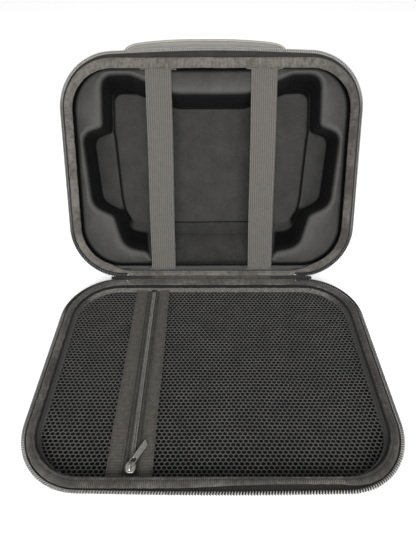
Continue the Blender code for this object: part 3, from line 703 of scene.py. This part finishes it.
def make_tray():
    """Velour-covered moulded tray with soft rounded mouth and inner edges."""
    mouth, shelf_edge = rounded_outline(MOUTH), rounded_outline(SHELF_EDGE)
    step, floor = rounded_outline(STEP), rounded_outline(RECESS_FLOOR)
    wall = spread_to_wall(mouth, 10.6)
    levels = []
    centre = floor.mean(0)
    for share in (0.25, 0.6, 0.9):
        levels.append((centre + (floor - centre) * share, FLOOR))
    levels += [(grown(floor, -2.2), FLOOR), (grown(floor, -0.7), FLOOR - 0.45),
               (floor, FLOOR - 1.8)]
    first_step = len(levels)
    levels += [(step, SHELF + 1.8), (grown(step, 0.35), SHELF + 0.9),
               (grown(step, 1.3), SHELF + 0.3)]
    # Rows that get painted shade, and how much: the step ring, the walls and the flange's outer
    # edge.
    painted_shade_rows = {first_step - 1: 0.55, first_step: 1.0, first_step + 1: 0.25}
    first_wall = len(levels)
    levels += [(grown(shelf_edge, -1.6), SHELF - 0.1), (grown(shelf_edge, -0.5), SHELF - 0.6),
               (shelf_edge, SHELF - 2.2)]
    painted_shade_rows.update({first_wall: 0.35, first_wall + 1: 0.85, first_wall + 2: 1.0})
    for share in (0.33, 0.66):
        levels.append((shelf_edge + (mouth - shelf_edge) * share,
                       SHELF - 2.2 + (FLANGE + MOUTH_DROP - SHELF + 2.2) * share))
    levels.append((mouth, FLANGE + MOUTH_DROP))
    for row, share in ((3, 1.0), (4, 1.0), (5, 0.9), (6, 0.6), (7, 0.3), (8, 0.1)):
        painted_shade_rows[first_wall + row] = share
    for turn in (22.5, 45.0, 67.5, 90.0):
        angle = math.radians(turn)
        levels.append((grown(mouth, MOUTH_REACH * (1 - math.cos(angle))),
                       FLANGE + MOUTH_DROP * (1 - math.sin(angle))))
    edge = grown(mouth, MOUTH_REACH)
    far = spread_to_wall(mouth, 16.0)
    reach = np.maximum(np.linalg.norm(far - edge, axis=1), 0.1)
    run = np.clip(1.0 - 2.4 / reach, 0.0, 1.0)[:, None]
    levels += [(edge + (far - edge) * 0.5 * run, FLANGE), (edge + (far - edge) * run, FLANGE)]
    outer_row = len(levels)
    # Painted shadow of the binding band along the flange's outer edge.
    for inset, share in ((16.0, 0.0), (14.6, 0.45), (13.2, 1.0)):
        painted_shade_rows[len(levels)] = share
        levels.append((spread_to_wall(mouth, inset), FLANGE))
    painted_shade_rows[len(levels)] = 1.0
    levels.append((wall, FLANGE))
    thick = TRAY_THICK
    levels += [(wall, FLANGE + thick), (grown(mouth, 4.0), FLANGE + thick),
               (grown(shelf_edge, thick), SHELF + thick - 0.4),
               (grown(step, thick), SHELF + thick + 0.4), (grown(floor, thick), FLOOR + thick)]
    rings = [np.column_stack([outline, np.full(len(outline), -depth)])
             for outline, depth in levels]
    skin = loft(rings, caps=True)
    tray = add_piece("recess_tray_velour", skin, LID_HINGE, "velour", "lid",
                     ["recess_tray"], sharp=50.0)
    # Painted shade and highlight by place, tuned against the photograph: walls painted dark, the
    # mouth's rounding painted light.
    values = np.zeros((len(rings), len(mouth)))
    ramp_run = np.clip((44.0 - mouth[:, 1]) / 6.0, 0, 1) * (np.abs(mouth[:, 0]) < 66.0)
    bottom_run = np.clip((56.0 - floor[:, 1]) / 5.0, 0, 1)
    for row, share in painted_shade_rows.items():
        free = 1.0 - (ramp_run if row < first_wall + 9 else 0.0)
        if row <= first_step + 1:
            free = free * (1.0 - bottom_run)
        values[row] = share * free
    # Painted shade on the flange's far edge between the straps.
    between = (np.clip((41.0 - np.abs(far[:, 0])) / 4.0, 0.0, 1.0)
               * np.clip(far[:, 1] - 2 * HALF_DEPTH + 24.0, 0.0, 1.0))
    values[outer_row] = np.maximum(values[outer_row], 0.9 * between)
    values[outer_row + 1] = np.maximum(values[outer_row + 1], between)
    # Painted shade all round the ring between wall and floor, except in the ears.
    lobes = 1.0 - np.clip((np.abs(mouth[:, 0]) - 103.0) / 4.0, 0.0, 1.0)
    for row in range(first_step - 1, first_wall + 2):
        values[row] = np.maximum(values[row], 0.9 * lobes * (1.0 - bottom_run))
    set_points(tray, "painted_wall_shade", values.ravel())
    # Painted highlight on the rows of the mouth's rounding.
    highlighted = np.zeros_like(values)
    for row, share in ((7, 0.4), (8, 0.9), (9, 0.8), (10, 0.3)):
        highlighted[first_wall + row] = share
    set_points(tray, "painted_highlight", highlighted.ravel())
    # A dark tube along the floor's crease is its painted shadow.
    count = 60
    crease = np.linspace(-57.0, 57.0, count)
    path = np.column_stack([crease, 51.6 + 0.25 * np.sin(crease / 14.0),
                            np.full(count, -FLOOR + 0.3)])
    skin = tube(path, np.tile([0.0, 0.0, 1.0], (count, 1)), 0.9)
    add_piece("recess_crease_shadow", skin, LID_HINGE, "lining", "lid")


# ------------------------------------------------------------------------------ net pocket
def case_gap(x, y):
    """Distance inside the zip line."""
    over_x = np.abs(x) - (HALF_WIDTH - CORNER)
    over_y = np.abs(y) - (HALF_DEPTH - CORNER)
    outside = np.hypot(np.maximum(over_x, 0), np.maximum(over_y, 0))
    return CORNER - outside - np.minimum(np.maximum(over_x, over_y), 0)


def net_height(x, y):
    """Slack of the net between its sewn edges."""
    free = np.clip((case_gap(x, y) - 13.0) / 26.0, 0.0, 1.0)
    waves = np.sin(x / 23.0 + 0.7) * np.sin(y / 31.0) + 0.5 * np.sin(x / 11.0 - y / 17.0)
    return -NET_DEPTH - 0.3 - free * (0.9 + 0.35 * waves)


def make_net(name, x_low, x_high, stands_for):
    """Warp-knitted net of staggered six-sided holes, as real threads."""
    pitch, row, hole, thread = 3.9, 2.9, 0.83, 0.42
    half_w, half_h = pitch / 2, row / 2
    corner = [(0.0, half_h * 1.3), (-half_w, half_h * 0.7), (-half_w, -half_h * 0.7),
              (0.0, -half_h * 1.3), (half_w, -half_h * 0.7), (half_w, half_h * 0.7)]
    corner = np.array(corner)
    centres = []
    rows = int(2 * HALF_DEPTH / (2 * half_h)) + 2
    for r in range(-rows // 2, rows // 2 + 1):
        y = r * row
        shift = half_w if r % 2 else 0.0
        first = math.ceil((x_low - shift) / pitch)
        last = math.floor((x_high - shift) / pitch)
        centres += [(k * pitch + shift, y) for k in range(first, last + 1)]
    centres = np.array(centres)
    keep = case_gap(centres[:, 0], centres[:, 1]) > NET_EDGE
    centres = centres[keep]
    outer = centres[:, None, :] + corner[None]
    inner = centres[:, None, :] + corner[None] * hole
    keys = np.round(outer.reshape(-1, 2) * 50).astype(int)
    unique, index = np.unique(keys, axis=0, return_inverse=True)
    index = np.asarray(index).reshape(-1, 6)
    outer_points = unique / 50.0
    points = np.vstack([outer_points, inner.reshape(-1, 2)])
    height = net_height(points[:, 0], points[:, 1])
    height[:len(outer_points)] += 0.16
    points = np.column_stack([points, height])
    faces = []
    base = len(outer_points)
    for c in range(len(centres)):
        for i in range(6):
            j = (i + 1) % 6
            faces.append((index[c, i], index[c, j], base + c * 6 + j, base + c * 6 + i))
    net = add_piece(name, (points, faces), BASE, "net", "base", [stands_for],
                    sharp=180.0)
    solid = net.modifiers.new("thread", "SOLIDIFY")
    solid.thickness = thread * 0.001
    solid.offset = 0.0


def make_edge_tape():
    """Sloping tape ring inside the rim, to which the net is sewn."""
    count = len(TRACK.at)
    # A dark ring in the groove under the band stands in as the band's painted shadow.
    groove = ((9.9, 2.05), (10.9, 2.0), (11.5, 2.6), (11.9, 4.7), (11.2, 5.0), (10.3, 4.0))
    rings = [TRACK.ring(inset, depth, 1) for inset, depth in groove]
    skin = loft(rings, wrap=True)
    add_piece("mesh_edge_groove_shadow", skin, BASE, "lining", "base")
    pucker = smooth_noise(count, 150, 0.35) + smooth_noise(count, 40, 0.2)
    section = ((11.3, 4.7), (11.9, 4.1), (12.6, 4.0), (13.1, 4.6), (13.2, 6.4), (13.9, 8.0),
               (13.7, 8.9), (12.4, 9.0), (11.6, 7.0))
    rings = [TRACK.ring(inset + pucker * (0.8 if 0 < k < 6 else 0.1),
                        depth + pucker * (0.5 if 0 < k < 4 else 0.0), 1)
             for k, (inset, depth) in enumerate(section)]
    skin = loft(rings, wrap=True)
    ring = add_piece("mesh_edge_tape_ring", skin, BASE, "edge_tape", "base",
                     ["mesh_edge_tape"], sharp=60.0)
    # Painted shade: the tape lit at the back, darker on the sides and at the front.
    lit = np.clip(TRACK.normals[:, 1] * 1.3, 0.0, 1.0) ** 2
    set_points(ring, "shade", np.tile(1.0 - lit, len(section)))


def ribbon(name, x_span, y_span, z_middle, thick, material, stands_for, place=BASE,
           body="base", ripple=0.12, edge_roll=0.25, step=2.0):
    """A flat woven strip along y with rolled edges and slight ripples."""
    across = (0.0, 0.06, 0.2, 0.5, 0.8, 0.94, 1.0)
    rows = []
    count = int((y_span[1] - y_span[0]) / step) + 1
    phase = rng.uniform(0, 6.0, 3)
    for y in np.linspace(y_span[0], y_span[1], count):
        top, low = [], []
        for share in across:
            x = x_span[0] + (x_span[1] - x_span[0]) * share
            wave_here = ripple * (math.sin(y / 9.0 + phase[0] + share)
                                  + 0.6 * math.sin(y / 4.1 + phase[1] + 2 * share))
            drop = edge_roll * (2 * abs(share - 0.5)) ** 6
            sway = 0.15 * math.sin(y / 21.0 + phase[2])
            top.append((x + sway, y, z_middle + thick / 2 + wave_here - drop))
            low.append((x + sway, y, z_middle - thick / 2 + wave_here - drop))
        rows.append(top + low[::-1])
    skin = loft(rows, caps=True, swap=True)
    return add_piece(name, skin, place, material, body, stands_for, sharp=60.0)


def make_pocket_zip():
    """Pocket zip with folded grosgrain bindings, tapes and a small coil chain."""
    end = HALF_DEPTH - 13.6
    run = (-end - 0.6, end + 0.6)
    for name, span, node in (("pocket_tape_left_woven", (-9.5, -0.2), "pocket_zip_tape_left"),
                             ("pocket_tape_right_woven", (0.2, 9.0), "pocket_zip_tape_right")):
        ribbon(name, (POCKET_X + span[0], POCKET_X + span[1]), run, -7.25, 0.5, "pocket_tape",
               [node], ripple=0.05, edge_roll=0.0)
    for name, span, node in (
            ("pocket_binding_left_fold", (-17.8, -6.4), "pocket_binding_left"),
            ("pocket_binding_right_fold", (6.2, 15.6), "pocket_binding_right")):
        ribbon(name, (POCKET_X + span[0], POCKET_X + span[1]), run, -6.35, 0.8,
               "pocket_grosgrain", [node], ripple=0.1, edge_roll=0.45)
        for side, offset in enumerate((1.4, span[1] - span[0] - 1.4)):
            frames = [(((0.0, 1.0, 0.0), (-1.0, 0.0, 0.0), (0.0, 0.0, 1.0)),
                       (POCKET_X + span[0] + offset, y, -6.02))
                      for y in np.arange(run[0] + 1.5, run[1] - 1.0, 3.0)]
            skin = scattered(stitch_template(2.2, 0.45, 0.3), frames)
            add_piece(f"{name}_stitches_{side}", skin, BASE, "thread", "base")
    pitch, per_turn = POCKET_PITCH, 10
    for side, node in ((-1, "pocket_coil_left"), (1, "pocket_coil_right")):
        y = np.arange(-end + 1.9, end - 1.9, pitch / per_turn)
        angle = y * 2 * math.pi / pitch + (math.pi if side > 0 else 0.0)
        zero = np.zeros(len(y))
        radial = np.column_stack([np.cos(angle), zero, np.sin(angle)])
        middle = np.column_stack([np.full(len(y), POCKET_X + side * 0.85), y, zero - 6.2])
        skin = tube(middle + radial * np.array([0.62, 0.0, 0.5]), radial, 0.24)
        add_piece(node + "_turns", skin, BASE, "pocket_coil", "base",
                  [node], sharp=80.0)
        steps = slice(0, None, per_turn)
        skin = tube(middle[steps], radial[steps], 0.36, 6)
        add_piece(node + "_core", skin, BASE, "coil_core", "base", sharp=80.0)


# -------------------------------------------------------------------------------- straps
def make_straps():
    """Two elastic straps, taut between the rims, tucked in and wrinkled at their ends."""
    for node in ("strap_left", "strap_right"):
        low, high = node_box(node)
        span = (low.x, high.x)
        run = (7.0, 2 * HALF_DEPTH - 10.0)
        strap = ribbon(node + "_elastic", span, run, -3.65, 1.1, "elastic", [node],
                       place=LID_HINGE, body="lid", ripple=0.05, edge_roll=0.3, step=1.5)
        for end, v in (("hinge_end", 8.4), ("front_end", 2 * HALF_DEPTH - 14.9)):
            x = np.linspace(low.x - 4.6, high.x + 4.6, 50)
            fade = np.clip((x - x[0]) / 4.0, 0.0, 1.0) * np.clip((x[-1] - x) / 4.0, 0.0, 1.0)
            pucker = 0.35 * np.sin(x / 1.7) + 0.25 * np.sin(x / 3.9 + 1.0)
            path = np.column_stack([x, v + 0.7 * pucker,
                                    -3.3 - 1.2 * (1.0 - fade) + 0.3 * pucker])
            skin = tube(path, np.tile([0.0, 0.0, 1.0], (50, 1)), 0.62, 8)
            add_piece(f"{node}_{end}_tuck", skin, LID_HINGE, "grosgrain", "lid")


# -------------------------------------------------------------------------------- hardware
def plate_with_holes(outer, holes, thick):
    """Flat plate from an outline with holes, as points and faces."""
    bm = bmesh.new()
    for z in (-thick / 2, thick / 2):
        edges = []
        for ring in [outer] + list(holes):
            verts = [bm.verts.new((x, y, z)) for x, y in ring]
            edges += [bm.edges.new((verts[i], verts[(i + 1) % len(verts)]))
                      for i in range(len(verts))]
        bmesh.ops.triangle_fill(bm, use_beauty=True, edges=edges)
    bm.verts.ensure_lookup_table()
    half = len(bm.verts) // 2
    first = 0
    for ring in [outer] + list(holes):
        for i in range(len(ring)):
            j = (i + 1) % len(ring)
            bm.faces.new((bm.verts[first + i], bm.verts[first + j],
                          bm.verts[half + first + j], bm.verts[half + first + i]))
        first += len(ring)
    points = [tuple(v.co) for v in bm.verts]
    bm.verts.index_update()
    faces = [[v.index for v in face.verts] for face in bm.faces]
    bm.free()
    return points, faces


def bevelled(piece, width, segments=2):
    """Small edge rounding."""
    modifier = piece.modifiers.new("edge", "BEVEL")
    modifier.width = width * 0.001
    modifier.segments = segments
    modifier.limit_method = "ANGLE"
    modifier.angle_limit = math.radians(40)


def make_puller(name, place, body, length, width, thick, hole_width, hole_length, node,
                metal="gunmetal"):
    """Puller tab: a ring for the crown, a narrow neck, then a long tapered tab with a hole."""
    half = width / 2
    tip = 0.46 * width
    outer = [(-0.45, -half * 0.72), (0.2, -half * 0.9), (hole_length * 0.5, -half),
             (hole_length + 1.0, -half * 0.9), (length - 3.4, -tip), (length - 2.9, -tip * 0.8),
             (length - 0.3, tip * 0.75), (length - 0.7, tip), (hole_length + 1.0, half * 0.9),
             (hole_length * 0.5, half), (0.2, half * 0.9), (-0.45, half * 0.72)]
    hole = [(0.45, -hole_width / 2), (hole_length - 0.6, -hole_width / 2),
            (hole_length, -hole_width / 4), (hole_length, hole_width / 4),
            (hole_length - 0.6, hole_width / 2), (0.45, hole_width / 2)]
    skin = plate_with_holes(outer, [hole], thick)
    piece = add_piece(name, skin, place, metal, body, [node], sharp=30)
    bevelled(piece, 0.18)


def across_path(path, i):
    """Unit normal of a flat path at its point i."""
    ahead = Vector(path[min(i + 1, len(path) - 1)]) - Vector(path[max(i - 1, 0)])
    return Vector((-ahead.y, ahead.x)).normalized()


def make_slider(name, place, body, length, width, thick, crown, node, metal="gunmetal"):
    """Slider: domed waisted body with side flanges and a round-backed crown."""
    half = length / 2
    outline = [(-half, 0.2), (-0.46 * length, 0.3), (-0.36 * length, 0.4), (-0.2 * length, 0.47),
               (0.0, 0.5), (0.2 * length, 0.49), (0.36 * length, 0.42), (0.46 * length, 0.32),
               (half, 0.22)]
    side = [(x, share * width) for x, share in outline]
    ring = side + [(x, -y) for x, y in reversed(side)]
    rings = []
    for scale, z in ((0.92, 0.0), (1.0, 0.25 * thick), (1.0, 0.7 * thick), (0.93, 0.93 * thick),
                     (0.78, thick), (0.4, thick)):
        rings.append([(x * scale, y * scale, z) for x, y in ring])
    skin = loft(rings, caps=True)
    add_piece(name, skin, place, metal, body, [node], sharp=45.0)
    reach = 0.36 * length
    strip = max(0.16 * width, 1.0)
    bar = 1.1
    path = [(-reach, thick - 0.3), (-reach, thick + crown * 0.55),
            (-reach * 0.72, thick + crown - 0.5), (0.0, thick + crown - 0.3),
            (reach * 0.72, thick + crown - 0.5), (reach, thick + crown * 0.55),
            (reach, thick - 0.3)]
    rings = []
    for i, (x, z) in enumerate(path):
        across = across_path(path, i) * bar * 0.5
        rings.append([(x + across.x, -strip / 2, z + across.y),
                      (x + across.x, strip / 2, z + across.y),
                      (x - across.x, strip / 2, z - across.y),
                      (x - across.x, -strip / 2, z - across.y)])
    skin = loft(rings, caps=True, swap=True)
    crown_piece = add_piece(name + "_crown", skin, place, metal, body, sharp=40.0)
    bevelled(crown_piece, 0.2)


def joint_place(name):
    """A joint's position in millimetres."""
    return Vector(JOINTS[name]["pos_m"]) * 1000.0


def axes_matrix(origin, x_axis, z_axis):
    """Frame from an origin, an x direction and a rough z direction."""
    x_axis = Vector(x_axis).normalized()
    y_axis = Vector(z_axis).cross(x_axis).normalized()
    z_axis = x_axis.cross(y_axis)
    matrix = Matrix((x_axis, y_axis, z_axis)).transposed().to_4x4()
    matrix.translation = origin
    return matrix


def make_hardware():
    """Pocket slider and puller, and both main sliders with their pullers."""
    low, high = node_box("pocket_slider")
    centre = (low + high) / 2
    place = axes_matrix(Vector((centre.x, centre.y, low.z)), (0, 1, 0), (0, 0, 1))
    make_slider("pocket_slider_cast", place, "pocket_slider", 8.4, 7.8, 1.8, 2.9,
                "pocket_slider")
    pivot = joint_place("pocket_puller_swing")
    axis = Vector(JOINTS["pocket_puller_swing"]["axis"])
    flat = axis.cross(Vector((0, 0, -1)))
    droop = math.radians(6.0)
    direction = flat * math.cos(droop) - Vector((0, 0, 1)) * math.sin(droop)
    make_puller("pocket_puller_tab", axes_matrix(pivot, direction, (0, 0, 1)), "pocket_puller",
                22.0, 4.8, 1.0, 3.2, 5.6, "pocket_puller")
    for word, side in (("left", -1), ("right", 1)):
        pivot = joint_place(f"zip_puller_{word}_swing")
        outward = pivot - Vector((pivot.x, HINGE.y, HINGE.z))
        outward.normalize()
        origin = Vector((pivot.x, HINGE.y, HINGE.z)) + outward * 2.2
        make_slider(f"zip_slider_{word}_cast", axes_matrix(origin, (side, 0, 0), outward),
                    f"zip_slider_{word}", 15.0, 11.0, 2.8, 3.0, f"zip_slider_{word}",
                    "blackened")
        make_puller(f"zip_puller_{word}_tab", axes_matrix(pivot, outward, (side, 0, 0)),
                    f"zip_puller_{word}", 18.0, 7.0, 1.2, 3.4, 8.2, f"zip_puller_{word}",
                    "blackened")


# ------------------------------------------------------------------------- hinge and handle
def make_hinge():
    """One fabric hinge, sewn to both walls outside and looping behind the fold line."""
    tilt = math.radians(TILT)
    inward = Vector((math.cos(tilt), math.sin(tilt)))
    down = Vector((math.sin(tilt), -math.cos(tilt)))
    path = [Vector((-3.9, -11.0)), Vector((-3.9, -8.0)), Vector((-3.9, -5.0)),
            Vector((-3.6, -3.4)), Vector((-2.4, -2.5)), Vector((-0.9, -1.9))]
    lid_side = [inward * 3.9 + down * d for d in (11.0, 8.0, 5.0)]
    lid_side += [inward * 3.6 + down * 3.4, inward * 2.4 + down * 2.5, inward * 0.9 + down * 1.9]
    path = path + [Vector((0.0, -0.75))] + lid_side[::-1]
    path = [Vector((HINGE.y + p.x, HINGE.z + p.y)) for p in path]
    rings = []
    for x in np.linspace(-HINGE_HALF, HINGE_HALF, 63):
        top, low = [], []
        for i, here in enumerate(path):
            across = across_path(path, i) * 0.55
            crease = 0.18 * math.sin(x / 2.7 + i) + 0.15 * math.sin(x / 7.1)
            middle = here + across * crease
            top.append((x, middle.x + across.x, middle.y + across.y))
            low.append((x, middle.x - across.x, middle.y - across.y))
        rings.append(top + low[::-1])
    skin = loft(rings, caps=True, swap=True)
    hinge = add_piece("hinge_fabric", skin, Matrix.Identity(4), "hinge_fabric", None,
                      ["base_hinge_flap", "lid_hinge_flap"], sharp=60.0)
    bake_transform(hinge)


def make_handle():
    """Arched webbing handle, seated over its sewn anchor patches."""
    rise = ((84.0, 0.0), (80.2, 0.6), (78.2, 2.4), (76.6, 5.4), (73.6, 8.3), (66.0, 10.7),
            (50.0, 12.5), (26.0, 13.8), (0.0, 14.0))
    wall_inset, patch_thick, gap, half_strap = 5.2, 2.0, 0.35, 1.7
    near_edge, width, centre_x = 18.0, 28.0, -5.8
    seat = 2 * HALF_DEPTH - wall_inset + patch_thick + gap + half_strap
    half_path = [Vector((x, seat + y)) for x, y in rise]
    knots = half_path + [Vector((-p.x, p.y)) for p in reversed(half_path[:-1])]
    knots.reverse()
    path = []
    for i in range(len(knots) - 1):
        p0, p1 = knots[max(i - 1, 0)], knots[i]
        p2, p3 = knots[i + 1], knots[min(i + 2, len(knots) - 1)]
        pieces = max(2, int((p2 - p1).length / 1.5))
        for k in range(pieces):
            t = k / pieces
            path.append(0.5 * (2 * p1 + (p2 - p0) * t + (2 * p0 - 5 * p1 + 4 * p2 - p3) * t ** 2
                               + (3 * p1 - p0 - 3 * p2 + p3) * t ** 3))
    path.append(knots[-1])
    rings = []
    shares = (0.0, 0.04, 0.15, 0.35, 0.5, 0.65, 0.85, 0.96, 1.0)
    for i, here in enumerate(path):
        across = across_path(path, i)
        top, low = [], []
        for share in shares:
            depth = near_edge + width * share
            half_thick = half_strap - 0.9 * (2 * abs(share - 0.5)) ** 8
            for side, row in ((1, top), (-1, low)):
                point = here + across * half_thick * side
                row.append((centre_x + point.x, point.y, -depth))
        rings.append(top + low[::-1])
    skin = loft(rings, caps=True, swap=True)
    woven = add_piece("handle_webbing_woven", skin, LID_HINGE, "webbing", "lid",
                      ["handle_webbing"], sharp=50.0)
    # Painted light and shade by row, tuned against the photograph: outer face painted dark, inner
    # face painted light, then an edge painted dark.
    painted_light_and_shade = [0.8] * len(shares) + [-1.1] * (len(shares) - 2) + [0.1, 0.7]
    set_points(woven, "shade", np.tile(painted_light_and_shade, len(path)))


def make_zip_webs():
    """Joined tape ends that close the fold beyond the fabric hinge; they turn with the tabs."""
    fold = math.radians((180.0 - TILT) / 2)
    outward = Vector((0.0, math.cos(fold), -math.sin(fold)))
    for word, side in (("left", -1), ("right", 1)):
        place = axes_matrix(HINGE, (side, 0, 0), outward)
        rows = []
        for x in np.linspace(HINGE_HALF - 1.5, 105.0, 46):
            reach = 2.6 - 1.2 * max(0.0, (x - 90.0) / 15.0)
            sag = 0.9 + 0.12 * math.sin(x / 1.9) + 0.8 * max(0.0, (x - 93.0) / 12.0) ** 2
            top = [(x, share * reach, sag + 0.5 * share ** 2) for share in (-1, -0.5, 0, 0.5, 1)]
            low = [(px, py, pz - 0.6) for px, py, pz in reversed(top)]
            rows.append(top + low)
        skin = loft(rows, caps=True)
        add_piece(f"zip_end_web_{word}", skin, place, "zip_tape", f"zip_end_{word}",
                  sharp=60.0)


# ------------------------------------------------------------------------------ the studio
def make_studio():
    """Pale floor, soft light and the camera at the photograph's viewing angle."""
    mesh = bpy.data.meshes.new("floor")
    mesh.from_pydata([(-3, -3, 0), (3, -3, 0), (3, 3, 0), (-3, 3, 0)], [], [(0, 1, 2, 3)])
    floor = bpy.data.objects.new("floor", mesh)
    material, _, shader = new_material("floor", 0.9)
    shader.inputs["Base Color"].default_value = (0.9, 0.9, 0.9, 1.0)
    shader.inputs["Emission Color"].default_value = (1.0, 1.0, 1.0, 1.0)
    shader.inputs["Emission Strength"].default_value = 0.55
    mesh.materials.append(material)
    bpy.context.scene.collection.objects.link(floor)

    world = bpy.data.worlds.new("studio")
    world.use_nodes = True
    world.node_tree.nodes["Background"].inputs["Color"].default_value = (1.0, 1.0, 1.0, 1.0)
    world.node_tree.nodes["Background"].inputs["Strength"].default_value = 0.38
    bpy.context.scene.world = world
    for name, place, size, power in (("key", (0.05, -1.2, 0.74), 0.7, 27.0),
                                     ("top", (-0.3, 0.1, 1.5), 1.2, 3.0)):
        light = bpy.data.lights.new(name, "AREA")
        light.size = size
        light.energy = power
        lamp = bpy.data.objects.new(name, light)
        lamp.location = place
        aim = Vector((0.0, 0.08, 0.05)) - Vector(place)
        lamp.rotation_euler = aim.to_track_quat("-Z", "Y").to_euler()
        bpy.context.scene.collection.objects.link(lamp)

    camera = bpy.data.cameras.new("camera")
    camera.sensor_fit = "VERTICAL"
    camera.sensor_height = 36.0
    camera.lens = 27.7
    camera.clip_start = 0.01
    view = bpy.data.objects.new("camera", camera)
    # Solved from the two rims in the photograph.
    pitch, yaw, roll = (math.radians(angle) for angle in (42.476, -0.249, -0.261))
    ahead = Vector((math.sin(yaw) * math.cos(pitch), math.cos(yaw) * math.cos(pitch),
                    -math.sin(pitch)))
    right = Vector((math.cos(yaw), -math.sin(yaw), 0.0))
    up = right.cross(ahead)
    turned = right * math.cos(roll) + up * math.sin(roll)
    up = up * math.cos(roll) - right * math.sin(roll)
    view.matrix_world = Matrix((turned, up, -ahead)).transposed().to_4x4()
    view.location = (-0.00208, -0.22189, RIM * 0.001 + 0.30166)
    bpy.context.scene.collection.objects.link(view)
    bpy.context.scene.camera = view
    bpy.context.scene.view_settings.view_transform = "Standard"


def finish_cad_nodes():
    """Small CAD nodes that stay visible get a finished material."""
    for node, material in (("pocket_front_stop", "blackened"), ("pocket_back_stop", "blackened"),
                           ("zip_end_tab_left", "edge_tape"), ("zip_end_tab_right", "edge_tape"),
                           ("handle_anchor_left", "shell_fabric"),
                           ("handle_anchor_right", "shell_fabric")):
        piece = frame["nodes"][node]
        piece.data.materials.clear()
        piece.data.materials.append(MATERIALS[material])


make_shells()
# The last tuple of each band is its painted shade: everywhere, on the right, at the hinge.
make_binding("base_binding_band", 1, BASE, "base", 10.6, 9.8, 1.0, -0.9, 3.5,
             (0.45, 0.3, -0.2), ["base_binding"])
make_binding("lid_binding_band", -1, LID, "lid", 12.2, 6.6, 2.6, 1.3, 0.0,
             (0.0, 0.5, 0.0), ["lid_binding"])
make_zip("base_zip", 1, BASE, "base", 1.0, 1.3)
make_zip("lid_zip", -1, LID, "lid", 3.0, 3.2)
make_tray()
make_edge_tape()
make_net("net_left", -HALF_WIDTH, POCKET_X - 9.0, "mesh_panel_left")
make_net("net_right", POCKET_X + 8.0, HALF_WIDTH, "mesh_panel_right")
make_pocket_zip()
make_straps()
make_hardware()
make_hinge()
make_zip_webs()
make_handle()
finish_cad_nodes()
make_studio()
